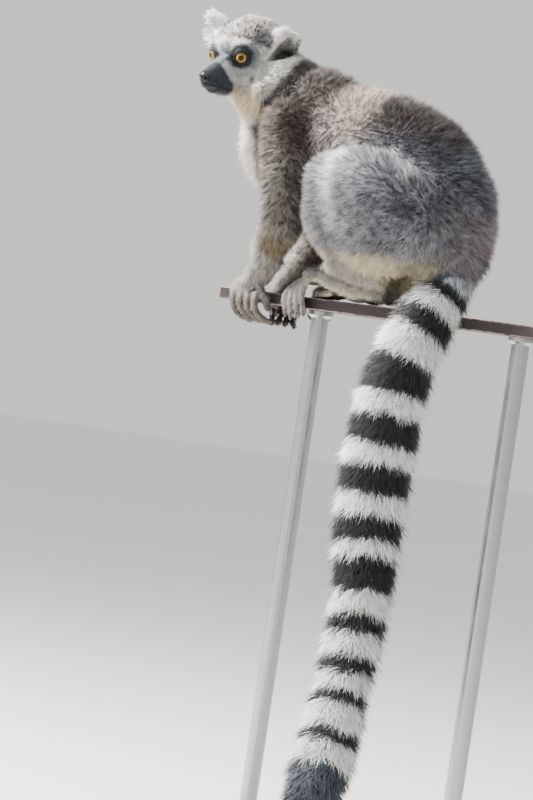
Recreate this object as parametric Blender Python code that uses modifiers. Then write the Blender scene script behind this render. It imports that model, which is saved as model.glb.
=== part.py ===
# Ring-tailed lemur, life size, crouched on a short flat rail that a plain stand holds up.
# The animal's chest faces -Y, its left side is +X, and its head is turned to look along +X.
# The solids reach the tips of the coat. Neighbouring pieces keep a hairline gap.

import bmesh
import bpy
from math import radians
from mathutils import Matrix, Vector

MM = 0.001

# stand and rail, mm
RAIL_TOP = 600
RAIL_WIDTH = 30
RAIL_HEIGHT = 12
RAIL_LENGTH = 400
RAIL_EDGE = 0.8
ROD_RADIUS = 9
ROD_FOOT_RADIUS = 22
ROD_HEAD_RADIUS = 13
ROD_PLACES = {"front": -84, "rear": 150}
BASE_SIZE = (330, 520, 18)
BASE_CORNER = 24
BASE_EDGE = 2
GAP = 0.4
# where the rail's middle stands on the base, which is centred on the origin
RAIL_MIDDLE = Vector((-42, 42, 0))

# skeleton, mm from the rail's middle on the floor; limbs are given for the left side
EYES_MIDDLE = Vector((45, -214, 832))
HEAD_YAW = radians(-3)
HEAD_PITCH = radians(16)
SHOULDER = Vector((34, -132, 768))
ELBOW = Vector((46, -116, 670))
WRIST = Vector((23, -146, 624))
HIP = Vector((34, 30, 690))
KNEE = Vector((68, -51, 717))
HEEL = Vector((17, -22, 613))
BELLY_LOW = 640
HAND_STAGGER = 8  # the right hand grips this much further back
EYE_RADIUS = 8.4
EYE_PLACE = (-6.6, 14.6, 0.5)
FINGER_SPACING = 8
TAIL_KNOTS = [(Vector(place), radius) for place, radius in (
    ((0, 62, 672), 17), ((5, 73, 645), 24), ((20, 65, 618), 31), ((38, 57, 582), 35),
    ((49, 48, 540), 36), ((55, 43, 470), 38), ((61, 45, 395), 38), ((73, 57, 320), 33),
    ((94, 65, 240), 30), ((124, 73, 165), 34), ((150, 78, 105), 30), ((164, 80, 72), 15), ((168, 80, 62), 5))]
TAIL_CUTS = (2, 4, 5, 6, 8)  # knots where the tail is divided

# ears: root, tip, and the way the open face looks, in the head's own directions
EARS = {
    "left": ((-37, 29, -7), (-53, 47, 17), (0.86, 0.5, -0.1)),
    "right": ((-36, -28, 8), (-40, -55, 36), (1, 0.1, 0.05)),
}
SIDES = {"left": 1, "right": -1}

# finishes: sRGB colour, roughness, metallic
FINISHES = {
    "coat_grey": ((0.52, 0.50, 0.48), 0.95, 0),
    "coat_warm": ((0.58, 0.50, 0.44), 0.95, 0),
    "coat_pale": ((0.78, 0.77, 0.75), 0.95, 0),
    "coat_white": ((0.92, 0.91, 0.90), 0.95, 0),
    "coat_rings": ((0.30, 0.30, 0.33), 0.95, 0),
    "eye_amber": ((0.80, 0.50, 0.10), 0.1, 0),
    "rail_paint": ((0.22, 0.11, 0.10), 0.5, 0),
    "stand_steel": ((0.62, 0.63, 0.64), 0.35, 1),
    "stand_black": ((0.07, 0.07, 0.08), 0.6, 0),
}

for old in list(bpy.data.objects):
    bpy.data.objects.remove(old)
lemur = bpy.data.collections.new("ring_tailed_lemur")
guides = bpy.data.collections.new("guides")
bpy.context.scene.collection.children.link(lemur)
bpy.context.scene.collection.children.link(guides)


# ---- places

def world(point):
    """A skeleton point in metres, in the world."""
    return (Vector(point) + RAIL_MIDDLE) * MM


def on_side(point, side):
    """A left-hand point, or its mirror image on the right."""
    return Vector((point[0] * side, point[1], point[2]))


def head_turn():
    return Matrix.Rotation(HEAD_YAW, 3, "Z") @ Matrix.Rotation(HEAD_PITCH, 3, "Y")


def in_head(forward, left, up):
    """A skeleton point given from the middle of the eyes, along the turned head's own directions."""
    return EYES_MIDDLE + head_turn() @ Vector((forward, left, up))


# ---- making and joining meshes

def guide(mesh):
    shape = bpy.data.objects.new("guide", mesh)
    guides.objects.link(shape)
    shape.hide_render = True
    shape.display_type = "WIRE"
    return shape


def finished(shape):
    """The mesh that the guide's modifiers make."""
    bpy.context.view_layer.update()
    made = shape.evaluated_get(bpy.context.evaluated_depsgraph_get())
    mesh = bpy.data.meshes.new_from_object(made)
    bpy.data.objects.remove(shape)
    return mesh


def weld(mesh):
    form = bmesh.new()
    form.from_mesh(mesh)
    bmesh.ops.remove_doubles(form, verts=form.verts, dist=0.00002)
    bmesh.ops.recalc_face_normals(form, faces=form.faces)
    form.to_mesh(mesh)
    form.free()
    return mesh


def ball(centre, radii, turn=None, fine=20):
    """An egg: its middle, three half sizes, and a rotation."""
    form = bmesh.new()
    bmesh.ops.create_uvsphere(form, u_segments=fine, v_segments=fine * 2 // 3, radius=MM)
    turned = turn.to_4x4() if turn else Matrix()
    form.transform(Matrix.Translation(world(centre)) @ turned @ Matrix.Diagonal((*radii, 1)))
    mesh = bpy.data.meshes.new("ball")
    form.to_mesh(mesh)
    form.free()
    return mesh


def head_ball(place, radii):
    return ball(in_head(*place), radii, head_turn())


def tube(points, radii, steps=5, round_steps=3):
    """A limb through the points, with its own radius at each."""
    line = bpy.data.curves.new("limb", "CURVE")
    line.dimensions = "3D"
    line.bevel_depth = MM
    line.bevel_resolution = round_steps
    line.resolution_u = steps
    line.use_fill_caps = True
    line.twist_mode = "MINIMUM"
    spline = line.splines.new("BEZIER")
    spline.bezier_points.add(len(points) - 1)
    for knot, point, radius in zip(spline.bezier_points, points, radii):
        knot.co = world(point)
        knot.radius = radius
        knot.handle_left_type = "AUTO"
        knot.handle_right_type = "AUTO"
    return weld(finished(guide(line)))


def limb(points, radii):
    """A tube with a ball at each end."""
    ends = [ball(points[i], (radii[i],) * 3) for i in (0, -1)]
    return [tube(points, radii), *ends]


def box(low, high):
    form = bmesh.new()
    bmesh.ops.create_cube(form, size=1)
    size = (Vector(high) - Vector(low)) * MM
    form.transform(Matrix.Translation((world(low) + world(high)) / 2) @ Matrix.Diagonal((*size, 1)))
    mesh = bpy.data.meshes.new("box")
    form.to_mesh(mesh)
    form.free()
    return mesh


def joined(meshes):
    form = bmesh.new()
    for mesh in meshes:
        form.from_mesh(mesh)
    whole = bpy.data.meshes.new("joined")
    form.to_mesh(whole)
    form.free()
    return whole


def grown_together(meshes, voxel, triangles, smooth_rounds):
    """One skin over all the meshes: remeshed, smoothed and thinned to a number of triangles."""
    shape = guide(joined(meshes))
    remesh = shape.modifiers.new("Remesh", "REMESH")
    remesh.mode = "VOXEL"
    remesh.voxel_size = voxel * MM
    smooth = shape.modifiers.new("Smooth", "SMOOTH")
    smooth.factor = 0.5
    smooth.iterations = smooth_rounds
    mesh = finished(shape)
    mesh.calc_loop_triangles()
    fine_count = len(mesh.loop_triangles)
    shape = guide(mesh)
    thin = shape.modifiers.new("Decimate", "DECIMATE")
    thin.ratio = min(1, triangles / fine_count)
    return weld(finished(shape))


def boolean(mesh, cutter, operation):
    shape = guide(mesh.copy())
    tool = guide(cutter)
    cut = shape.modifiers.new("Boolean", "BOOLEAN")
    cut.object = tool
    cut.operation = operation
    cut.solver = "EXACT"
    result = weld(finished(shape))
    bpy.data.objects.remove(tool)
    return result


# ---- parting

def grow_group(start):
    """All vertices that edges join to this one."""
    group = {start}
    fresh = [start]
    while fresh:
        for edge in fresh.pop().link_edges:
            for vert in edge.verts:
                if vert not in group:
                    group.add(vert)
                    fresh.append(vert)
    return group


def islands(mesh):
    """The separate bodies of a mesh, largest first."""
    form = bmesh.new()
    form.from_mesh(mesh)
    left = set(form.verts)
    groups = []
    while left:
        group = grow_group(next(iter(left)))
        left -= group
        groups.append(group)
    pieces = []
    for group in sorted(groups, key=len, reverse=True):
        piece = bmesh.new()
        twin = {vert: piece.verts.new(vert.co) for vert in form.verts if vert in group}
        for face in form.faces:
            if face.verts[0] in group:
                piece.faces.new([twin[vert] for vert in face.verts])
        mesh = bpy.data.meshes.new("piece")
        piece.to_mesh(mesh)
        piece.free()
        pieces.append(mesh)
    form.free()
    return pieces


def side_of(mesh, point, toward):
    """What lies on the side of a plane that `toward` points to, half a gap away from it."""
    normal = Vector(toward).normalized()
    reach = 400 * MM
    form = bmesh.new()
    bmesh.ops.create_cube(form, size=2 * reach)
    middle = world(point) + normal * (reach + GAP / 2 * MM)
    form.transform(Matrix.Translation(middle) @ normal.to_track_quat("Z", "Y").to_matrix().to_4x4())
    slab = bpy.data.meshes.new("slab")
    form.to_mesh(slab)
    form.free()
    return islands(boolean(mesh, slab, "INTERSECT"))[0]


def halves(mesh, point, toward):
    """The two sides of a plane, first the one that `toward` points to."""
    return side_of(mesh, point, toward), side_of(mesh, point, -Vector(toward))


def cut_across(mesh, point, along, radius):
    """The bodies left when a thin disc, square to `along`, cuts through one limb."""
    form = bmesh.new()
    bmesh.ops.create_cone(
        form, cap_ends=True, segments=16, radius1=radius * MM, radius2=radius * MM, depth=GAP * MM)
    turn = Vector(along).to_track_quat("Z", "Y").to_matrix()
    form.transform(Matrix.Translation(world(point)) @ turn.to_4x4())
    disc = bpy.data.meshes.new("disc")
    form.to_mesh(disc)
    form.free()
    return islands(boolean(mesh, disc, "DIFFERENCE"))


def cored(mesh, centre, radii, turn=None):
    """What lies inside an egg, and the pieces left outside it, a gap apart."""
    core = ball(centre, [radius - GAP for radius in radii], turn, 12)
    inside = islands(boolean(mesh, core, "INTERSECT"))[0]
    outside = islands(boolean(mesh, ball(centre, radii, turn, 12), "DIFFERENCE"))
    return inside, outside


# ---- the animal's forms

def head_forms():
    """Skull, brow, cheeks, muzzle, lower jaw and the roots of the ears."""
    forms = [
        head_ball((-40, 0, 5), (38, 33, 31)),
        head_ball((-14, 0, 3), (20, 26, 19)),
        head_ball((-26, 0, -14), (30, 30, 22)),
        tube([in_head(-8, 0, -8), in_head(18, 0, -15), in_head(36, 0, -17)], (17, 12, 8.5)),
        tube([in_head(-10, 0, -20), in_head(12, 0, -24), in_head(31, 0, -26)], (15, 12, 8.5)),
    ]
    for side in SIDES.values():
        forms.append(head_ball((-12, 13 * side, 9), (10, 12, 9)))
        forms.append(head_ball((8, 7 * side, -22), (12, 8, 9)))
        forms.append(tube([in_head(-38, 24 * side, 6), in_head(-48, 32 * side, 10)], (15, 11)))
    return forms


def trunk_forms():
    """Neck, throat, mane, chest, back, belly and rump."""
    return [
        tube([in_head(-44, 0, -6), (0, -180, 820), (0, -146, 796)], (30, 38, 46)),
        tube([in_head(-20, 0, -26), (14, -192, 786), (4, -168, 756)], (20, 28, 38)),
        ball((2, -172, 798), (46, 34, 34)),
        ball((0, -118, 796), (46, 50, 42)),
        ball((0, -153, 754), (44, 52, 52)),
        *limb([(0, -128, 770), (0, -60, 763), (0, 6, 740), (0, 40, 708)], (52, 60, 64, 58)),
        ball((0, 38, 702), (66, 54, 74)),
        ball((0, -40, 716), (58, 70, 58)),
        ball((0, 55, 668), (46, 46, 52)),
    ]


def arm_forms(side):
    shoulder = on_side(SHOULDER, side)
    elbow = on_side(ELBOW, side)
    wrist = on_side(WRIST, side)
    past_wrist = wrist + (wrist - elbow) * 0.15
    return [
        *limb([shoulder, (shoulder + elbow) / 2 + Vector((3 * side, 2, 0)), elbow], (35, 28, 22)),
        *limb([elbow, (elbow + wrist) / 2 + Vector((0, -3, 0)), past_wrist], (22, 19, 12)),
    ]


def leg_forms(side):
    hip = on_side(HIP, side)
    knee = on_side(KNEE, side)
    heel = on_side(HEEL, side)
    ankle = heel + Vector((6 * side, -2, 20))
    return [
        ball(on_side((42, -6, 690), side), (50, 74, 66)),
        *limb([hip, (hip + knee) / 2 + Vector((8 * side, 0, 10)), knee], (52, 46, 30)),
        *limb([knee, (knee + heel) / 2 + Vector((14 * side, -14, 6)), ankle], (28, 28, 13)),
    ]


def hand_mesh(side, back):
    """A hand over the rail's edge: its back, four long fingers curled under, and a thumb."""
    shift = Vector((0, back, 0))
    wrist = on_side(WRIST, side)
    forms = [
        tube(
            [wrist + Vector((3 * side, 9, 14)), wrist, on_side((26, -162, 602), side) + shift],
            (14, 12, 11)),
        ball(on_side((25, -166, 600), side) + shift, (8, 14, 14)),
    ]
    for finger in range(4):
        across = -174 + FINGER_SPACING * finger
        knots = [(28, across, 597), (30, across + 6, 580), (20, across + 14, 571), (4, across + 24, 575)]
        forms.append(tube([on_side(knot, side) + shift for knot in knots], (5.2, 4.6, 4.2, 3.4)))
    thumb = [(22, -150, 606), (24, -142, 596), (20, -136, 584)]
    forms.append(tube([on_side(knot, side) + shift for knot in thumb], (5.5, 4.6, 3.6)))
    return grown_together(forms, 1.6, 320, 4)


def foot_mesh(side):
    """A long foot lying on the rail with a high arch, its toes curled down over the edge."""
    heel = on_side(HEEL, side)
    forms = [
        tube([heel + Vector((5 * side, -3, 26)), heel + Vector((0, -3, 2)), on_side((18, -50, 615), side),
              on_side((19, -78, 623), side)], (15, 13, 12, 11)),
        ball(heel + Vector((0, 6, -2)), (10, 12, 10)),
        ball(on_side((20, -86, 621), side), (12, 12, 10)),
    ]
    for toe in range(4):
        knots = [(13 + 5 * toe, -88, 621), (19 + 3 * toe, -105 + 3 * toe, 611), (27, -111 + 5 * toe, 596),
                 (24, -110 + 6 * toe, 580)]
        forms.append(tube([on_side(knot, side) for knot in knots], (6, 5.4, 4.6, 3.6)))
    big_toe = [(12, -60, 611), (7.5, -72, 607), (7, -86, 605)]
    forms.append(tube([on_side(knot, side) for knot in big_toe], (7, 6, 4.6)))
    return grown_together(forms, 1.8, 320, 4)


def ear_frame(word):
    """Middle, half length and directions (across, open face, up) of an ear."""
    root, tip, facing = EARS[word]
    base = in_head(*root)
    end = in_head(*tip)
    up = (end - base).normalized()
    across = (head_turn() @ Vector(facing)).cross(up).normalized()
    open_face = up.cross(across)
    turn = Matrix((across, open_face, up)).transposed()
    return (base + end) / 2, (end - base).length / 2, turn


def ear_leaf(word, extra=0.0):
    """The outside of an ear with its fringe of hair: a thick leaf."""
    middle, half_length, turn = ear_frame(word)
    return ball(middle, (17 + extra, 8 + extra, half_length + 5 + extra), turn, 12)


def ear_mesh(word):
    middle, half_length, turn = ear_frame(word)
    open_face = turn.col[1]
    dish = ball(middle + open_face * 10, (12, 8, half_length), turn, 10)
    return boolean(ear_leaf(word), dish, "DIFFERENCE")


def eye_ball(side, extra=0.0):
    forward, left, up = EYE_PLACE
    return ball(in_head(forward, left * side, up), (EYE_RADIUS + extra,) * 3, None, 12)


def tail_tube(extra=0.0):
    places = [place for place, radius in TAIL_KNOTS]
    return tube(places, [radius + extra for place, radius in TAIL_KNOTS], 2, 5)


def tail_meshes():
    """The tail over the rail's near edge and down, divided square to its own line."""
    rest = islands(boolean(tail_tube(), rail_room(), "DIFFERENCE"))[0]
    places = [place for place, radius in TAIL_KNOTS]
    lengths = []
    for knot in TAIL_CUTS:
        upper, rest = halves(rest, places[knot], places[knot - 1] - places[knot + 1])
        lengths.append(upper)
    return lengths + [rest]


# ---- rail and stand

def rail_room():
    """The space the rail takes, with the gap that its neighbours keep."""
    half = RAIL_WIDTH / 2 + GAP
    return box((-half, -RAIL_LENGTH, RAIL_TOP - RAIL_HEIGHT - GAP), (half, RAIL_LENGTH, RAIL_TOP + GAP))


def rounded(mesh, edges_wanted, width, segments):
    """The mesh with the chosen edges rounded."""
    form = bmesh.new()
    form.from_mesh(mesh)
    edges = [edge for edge in form.edges if edges_wanted(edge)]
    bmesh.ops.bevel(form, geom=edges, offset=width * MM, segments=segments, profile=0.5, affect="EDGES")
    form.to_mesh(mesh)
    form.free()
    return mesh


def is_upright(edge):
    return abs(edge.verts[0].co.z - edge.verts[1].co.z) > MM


def rail_mesh():
    half = RAIL_WIDTH / 2
    length = RAIL_LENGTH / 2
    rail = box((-half, -length, RAIL_TOP - RAIL_HEIGHT), (half, length, RAIL_TOP))
    return rounded(rail, lambda edge: True, RAIL_EDGE, 1)


def base_mesh():
    corner = Vector(BASE_SIZE) / 2
    low = Vector((-corner.x, -corner.y, 0)) - RAIL_MIDDLE
    plate = box(low, low + Vector(BASE_SIZE))
    rounded(plate, is_upright, BASE_CORNER, 5)
    top = BASE_SIZE[2] * MM - MM / 2
    return rounded(plate, lambda edge: min(v.co.z for v in edge.verts) > top, BASE_EDGE, 1)


def rod_mesh(along_rail):
    """A turned rod with a round foot on the base and a wider head under the rail."""
    low = BASE_SIZE[2] + GAP
    high = RAIL_TOP - RAIL_HEIGHT - GAP
    outline = [(0, low), (ROD_FOOT_RADIUS, low), (ROD_FOOT_RADIUS, low + 4), (ROD_RADIUS, low + 8),
               (ROD_RADIUS, high - 7), (ROD_HEAD_RADIUS, high - 4), (ROD_HEAD_RADIUS, high), (0, high)]
    profile = bpy.data.meshes.new("profile")
    profile.from_pydata([(radius * MM, 0, z * MM) for radius, z in outline],
                        [(i, i + 1) for i in range(len(outline) - 1)], [])
    shape = guide(profile)
    turned = shape.modifiers.new("Screw", "SCREW")
    turned.steps = 16
    turned.render_steps = 16
    turned.use_merge_vertices = True
    turned.merge_threshold = 0.00001
    mesh = weld(finished(shape))
    mesh.transform(Matrix.Translation(world((0, along_rail, 0))))
    return mesh


# ---- the whole

def fitted_body():
    """The flesh, with room for the rail, the eyes, the ears and the root of the tail."""
    forms = head_forms() + trunk_forms()
    for side in SIDES.values():
        forms += arm_forms(side) + leg_forms(side)
    body = grown_together(forms, 3.0, 2140, 14)
    body = boolean(body, rail_room(), "DIFFERENCE")
    for word, side in SIDES.items():
        body = boolean(body, eye_ball(side, GAP), "DIFFERENCE")
        body = boolean(body, ear_leaf(word, GAP), "DIFFERENCE")
    body = boolean(body, tail_tube(GAP), "DIFFERENCE")
    return islands(body)[0]


def divide_body(body):
    """The body's nodes: legs and arms are cored out, then the trunk is cut square to the spine."""
    nodes = {}
    for word, side in SIDES.items():
        leg_turn = Matrix.Rotation(radians(24 * side), 3, "Y")
        leg, rest = cored(body, on_side((64, -10, 690), side), (44, 86, 86), leg_turn)
        body = rest[0]
        thigh, shin = halves(leg, on_side((66, -58, 688), side), (0.14 * side, 0.65, 0.68))
        nodes[f"thigh_{word}"] = thigh
        nodes[f"shin_{word}"] = shin
        body, nodes[f"forearm_{word}"] = cut_across(body, on_side(ELBOW, side), (0, 0, 1), 36)[:2]
        arm_turn = Matrix.Rotation(radians(-8), 3, "X")
        nodes[f"upper_arm_{word}"], rest = cored(
            body, on_side((52, -122, 714), side), (32, 38, 58), arm_turn)
        body = rest[0]
    nodes["head"], body = halves(body, (5, -186, 812), (0.12, -0.80, 0.58))
    nodes["neck"], body = halves(body, (0, -165, 786), (0, -0.5, 0.87))
    nodes["chest"], body = halves(body, (0, -84, 740), (0, -1, 0.1))
    belly, nodes["rump"] = halves(body, (0, 18, 720), (0, -1, 0.1))
    nodes["belly"] = side_of(belly, (0, 0, BELLY_LOW), (0, 0, 1))
    return nodes


def add_limb_ends(nodes):
    """Hands and feet, each meeting its own forearm or shin along one line."""
    for word, side in SIDES.items():
        wrist = on_side(WRIST, side)
        along = on_side(WRIST - ELBOW, side)
        hand = boolean(hand_mesh(side, HAND_STAGGER if side < 0 else 0), rail_room(), "DIFFERENCE")
        nodes[f"hand_{word}"] = side_of(hand, wrist, along)
        nodes[f"forearm_{word}"] = side_of(nodes[f"forearm_{word}"], wrist, -along)
        ankle = on_side(HEEL + Vector((4, -3, 14)), side)
        down = on_side((-0.4, 0.1, -1), side)
        foot = boolean(foot_mesh(side), rail_room(), "DIFFERENCE")
        nodes[f"foot_{word}"] = side_of(foot, ankle, down)
        nodes[f"shin_{word}"] = side_of(nodes[f"shin_{word}"], ankle, -down)


def finish_of(name):
    """The finish of a node, by what its name begins with."""
    kinds = {
        "head": "coat_pale", "neck": "coat_grey", "chest": "coat_warm", "belly": "coat_warm",
        "rump": "coat_grey", "thigh": "coat_grey", "shin": "coat_grey", "foot": "coat_pale",
        "upper": "coat_warm", "forearm": "coat_grey", "hand": "coat_pale", "ear": "coat_white",
        "eye": "eye_amber", "tail": "coat_rings", "perch": "rail_paint",
    }
    word = name.split("_")[0]
    if word == "stand":
        return "stand_black" if name == "stand_base" else "stand_steel"
    return kinds[word]


def material(finish):
    made = bpy.data.materials.get(finish)
    if made:
        return made
    colour, roughness, metallic = FINISHES[finish]
    made = bpy.data.materials.new(finish)
    made.use_nodes = True
    surface = made.node_tree.nodes["Principled BSDF"]
    surface.inputs["Base Color"].default_value = (*(c ** 2.2 for c in colour), 1)
    surface.inputs["Roughness"].default_value = roughness
    surface.inputs["Metallic"].default_value = metallic
    return made


def place_node(mesh, name):
    """A finished node, with its origin in the middle of its own bounds."""
    low = Vector([min(v.co[i] for v in mesh.vertices) for i in range(3)])
    high = Vector([max(v.co[i] for v in mesh.vertices) for i in range(3)])
    middle = (low + high) / 2
    mesh.transform(Matrix.Translation(-middle))
    mesh.name = name
    mesh.materials.clear()
    mesh.materials.append(material(finish_of(name)))
    node = bpy.data.objects.new(name, mesh)
    node.location = middle
    lemur.objects.link(node)


nodes = divide_body(fitted_body())
add_limb_ends(nodes)
for word, side in SIDES.items():
    nodes[f"ear_{word}"] = ear_mesh(word)
    nodes[f"eye_{word}"] = eye_ball(side)
for number, length in enumerate(tail_meshes(), 1):
    nodes[f"tail_{number}"] = length
nodes["perch_rail"] = rail_mesh()
nodes["stand_base"] = base_mesh()
for word, along_rail in ROD_PLACES.items():
    nodes[f"stand_rod_{word}"] = rod_mesh(along_rail)
for name, mesh in nodes.items():
    place_node(mesh, name)
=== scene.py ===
# Skin, eyes, nails and coat for the crouched ring-tailed lemur, and finishes for its rail and stand.
# Lengths are in mm from the floor under the middle of the rail; the chest faces -y and the left side is +x.

import bmesh
import bpy
import numpy as np
import time
from math import cos, pi, radians, sin
from mathutils import Matrix, Vector
from mathutils.bvhtree import BVHTree
from mathutils.kdtree import KDTree


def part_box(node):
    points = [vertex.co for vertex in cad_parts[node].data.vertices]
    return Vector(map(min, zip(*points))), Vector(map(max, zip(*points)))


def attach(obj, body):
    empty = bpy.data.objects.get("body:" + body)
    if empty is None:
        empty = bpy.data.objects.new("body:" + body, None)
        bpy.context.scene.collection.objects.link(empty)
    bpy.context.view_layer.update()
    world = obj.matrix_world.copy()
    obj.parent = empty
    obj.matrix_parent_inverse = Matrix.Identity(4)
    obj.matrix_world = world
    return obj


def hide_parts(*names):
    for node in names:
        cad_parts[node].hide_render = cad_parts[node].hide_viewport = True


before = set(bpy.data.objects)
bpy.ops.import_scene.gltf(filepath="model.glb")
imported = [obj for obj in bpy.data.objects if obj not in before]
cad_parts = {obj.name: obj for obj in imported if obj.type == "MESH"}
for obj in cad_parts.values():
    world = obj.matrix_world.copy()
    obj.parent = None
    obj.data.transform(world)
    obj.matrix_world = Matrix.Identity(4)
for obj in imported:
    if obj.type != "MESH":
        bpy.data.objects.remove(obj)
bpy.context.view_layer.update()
started = time.time()

mm = 0.001
railLow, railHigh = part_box("perch_rail")
railMiddle = Vector(((railLow.x + railHigh.x) / 2, (railLow.y + railHigh.y) / 2, 0)) / mm
chance = np.random.default_rng(23)
sides = {"left": 1, "right": -1}
fleshNodes = [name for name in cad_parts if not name.startswith(("eye", "stand", "perch"))]


def report(stage):
    print(f"{stage} ({time.time() - started:.0f} s)")


pose = {
    "eyes": (45, -214, 832),  # midway between the two corneas
    "headYaw": -3,
    "headPitch": 16,
    "shoulder": (34, -132, 768),
    "elbow": (46, -116, 670),
    "wrist": (23, -146, 624),
    "hip": (34, 30, 690),
    "knee": (68, -51, 717),
    "heel": (17, -22, 613),
    "handStagger": 8,  # how much further back the right hand grips
}
headTurn = (Matrix.Rotation(radians(pose["headYaw"]), 3, "Z")
            @ Matrix.Rotation(radians(pose["headPitch"]), 3, "Y"))


def inWorld(point):
    return (Vector(point) + railMiddle) * mm


def inHead(forward, left, up):  # a place given from between the eyes, along the turned head
    return Vector(pose["eyes"]) + headTurn @ Vector((forward, left, up))


def onSide(point, side):
    return Vector((point[0] * side, point[1], point[2]))


# forms of the body, each drawn in by the depth of its coat
coatDepth = {
    "crown": 3, "cheek": 4, "brow": 2.2, "muzzle": 1.2, "earRoot": 3,
    "neck": 10, "trunk": 10.5, "arm": (10.5, 8, 5), "forearm": (5, 4, 2.2),
    "thigh": (10, 10, 9), "shin": (9, 8, 2.2), "hand": 1.2, "toe": 0.6, "tail": 15,
}


def placed(name, data):
    shape = bpy.data.objects.new(name, data)
    bpy.context.scene.collection.objects.link(shape)
    return shape


def finished(shape):  # the mesh that a guide's modifiers make
    bpy.context.view_layer.update()
    mesh = bpy.data.meshes.new_from_object(shape.evaluated_get(bpy.context.evaluated_depsgraph_get()))
    bpy.data.objects.remove(shape)
    return mesh


def addModifier(shape, kind, **settings):
    modifier = shape.modifiers.new(kind.title(), kind)
    for key, value in settings.items():
        setattr(modifier, key, value)


def formOf(mesh):
    form = bmesh.new()
    form.from_mesh(mesh)
    return form


def written(form, mesh):
    form.to_mesh(mesh)
    form.free()
    return mesh


def smoothPiece(name, mesh, *finishes):
    mesh.polygons.foreach_set("use_smooth", [True] * len(mesh.polygons))
    for finish in finishes:
        mesh.materials.append(finish)
    return placed(name, mesh)


def ball(centre, radii, coat=0, turn=None):
    form = bmesh.new()
    bmesh.ops.create_uvsphere(form, u_segments=32, v_segments=20, radius=mm)
    size = [radius - coat for radius in radii]
    turned = turn.to_4x4() if turn else Matrix()
    form.transform(Matrix.Translation(inWorld(centre)) @ turned @ Matrix.Diagonal((*size, 1)))
    return written(form, bpy.data.meshes.new("ball"))


def headBall(place, radii, coat=0):
    return ball(inHead(*place), radii, coat, headTurn)


def forEach(points, coat):
    return coat if isinstance(coat, tuple) else (coat,) * len(points)


def tube(points, radii, coat=0):
    line = bpy.data.curves.new("limb", "CURVE")
    line.dimensions = "3D"
    line.bevel_depth = mm
    line.bevel_resolution = 6
    line.resolution_u = 8
    line.use_fill_caps = True
    line.twist_mode = "MINIMUM"
    spline = line.splines.new("BEZIER")
    spline.bezier_points.add(len(points) - 1)
    for knot, point, radius, depth in zip(spline.bezier_points, points, radii, forEach(points, coat)):
        knot.co = inWorld(point)
        knot.radius = radius - depth
        knot.handle_left_type = "AUTO"
        knot.handle_right_type = "AUTO"
    mesh = finished(placed("guide", line))
    form = formOf(mesh)
    bmesh.ops.remove_doubles(form, verts=form.verts, dist=0.00001)
    bmesh.ops.recalc_face_normals(form, faces=form.faces)
    return written(form, mesh)


def limb(points, radii, coat=0):  # a tube with a ball at each end
    depths = forEach(points, coat)
    return [tube(points, radii, coat)] + [ball(points[i], (radii[i],) * 3, depths[i]) for i in (0, -1)]


def headForms():
    crown, cheek, brow, muzzle, root = (
        coatDepth[zone] for zone in ("crown", "cheek", "brow", "muzzle", "earRoot"))
    forms = [
        headBall((-41, 2, 7), (38, 35, 32), crown),
        headBall((-14, 0, 3), (20, 26, 19), brow),
        headBall((-26, 0, -14), (30, 30, 22), cheek),
        tube([inHead(-8, 0, -8), inHead(18, 0, -15), inHead(36, 0, -17)], (17, 12, 8.5), (3, muzzle, 1)),
        tube([inHead(-10, 0, -20), inHead(12, 0, -24), inHead(29, 0, -26)], (15, 12, 8.5), (4, muzzle, 0.8)),
        headBall((33, 0, -22), (7, 7.2, 6)),
        headBall((36.2, 0, -16.5), (6.2, 7.0, 6.6)),
    ]
    for side in sides.values():
        forms += [
            headBall((-12, 13 * side, 9), (10, 12, 9), brow),
            headBall((8, 7 * side, -22), (12, 8, 9), muzzle),
            headBall((25, 5 * side, -18), (9, 6, 6.5), 0.6),
            tube([inHead(-38, 24 * side, 9), inHead(-45, 30 * side, 13)], (16, 12), root),
            headBall((-45, 33 * side, 16.5), (14, 16, 9.5), root),
        ]
    return forms


def trunkForms():
    neck, trunk = coatDepth["neck"], coatDepth["trunk"]
    return [
        tube([inHead(-44, 0, -6), (0, -180, 820), (0, -146, 796)], (30, 38, 46), (7, neck, neck)),
        tube([inHead(-20, 0, -26), (10, -186, 786), (4, -168, 756)], (19, 25, 36), (5, 9, neck)),
        ball((2, -172, 798), (46, 34, 34), neck),
        ball((0, -150, 811), (36, 30, 34), neck),
        ball((0, -118, 796), (46, 50, 42), trunk),
        ball((12, -187, 764), (20, 15, 22), trunk),
        ball((0, -152, 752), (44, 50, 52), trunk),
        *limb([(0, -128, 770), (0, -60, 763), (0, 6, 740), (0, 40, 708)], (52, 60, 64, 58), trunk),
        ball((0, 38, 702), (66, 54, 74), trunk),
        ball((0, -40, 716), (58, 70, 58), trunk),
        ball((0, 55, 668), (46, 46, 52), trunk),
    ]


def lineOn(side, *places):
    return [onSide(place, side) for place in places]


def gripBack(side):  # how far back from the left hand's a grip is
    return pose["handStagger"] if side < 0 else 0


def armForms(side):
    shoulder, elbow, wrist = lineOn(side, pose["shoulder"], pose["elbow"], pose["wrist"])
    wrist.y += gripBack(side)
    upper = [shoulder, (shoulder + elbow) / 2 + Vector((3 * side, 2, 0)), elbow]
    lower = [elbow, (elbow + wrist) / 2 + Vector((0, -3, 0)), wrist + (wrist - elbow) * 0.15]
    return limb(upper, (35, 28, 22), coatDepth["arm"]) + limb(lower, (22, 19, 12), coatDepth["forearm"])


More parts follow.
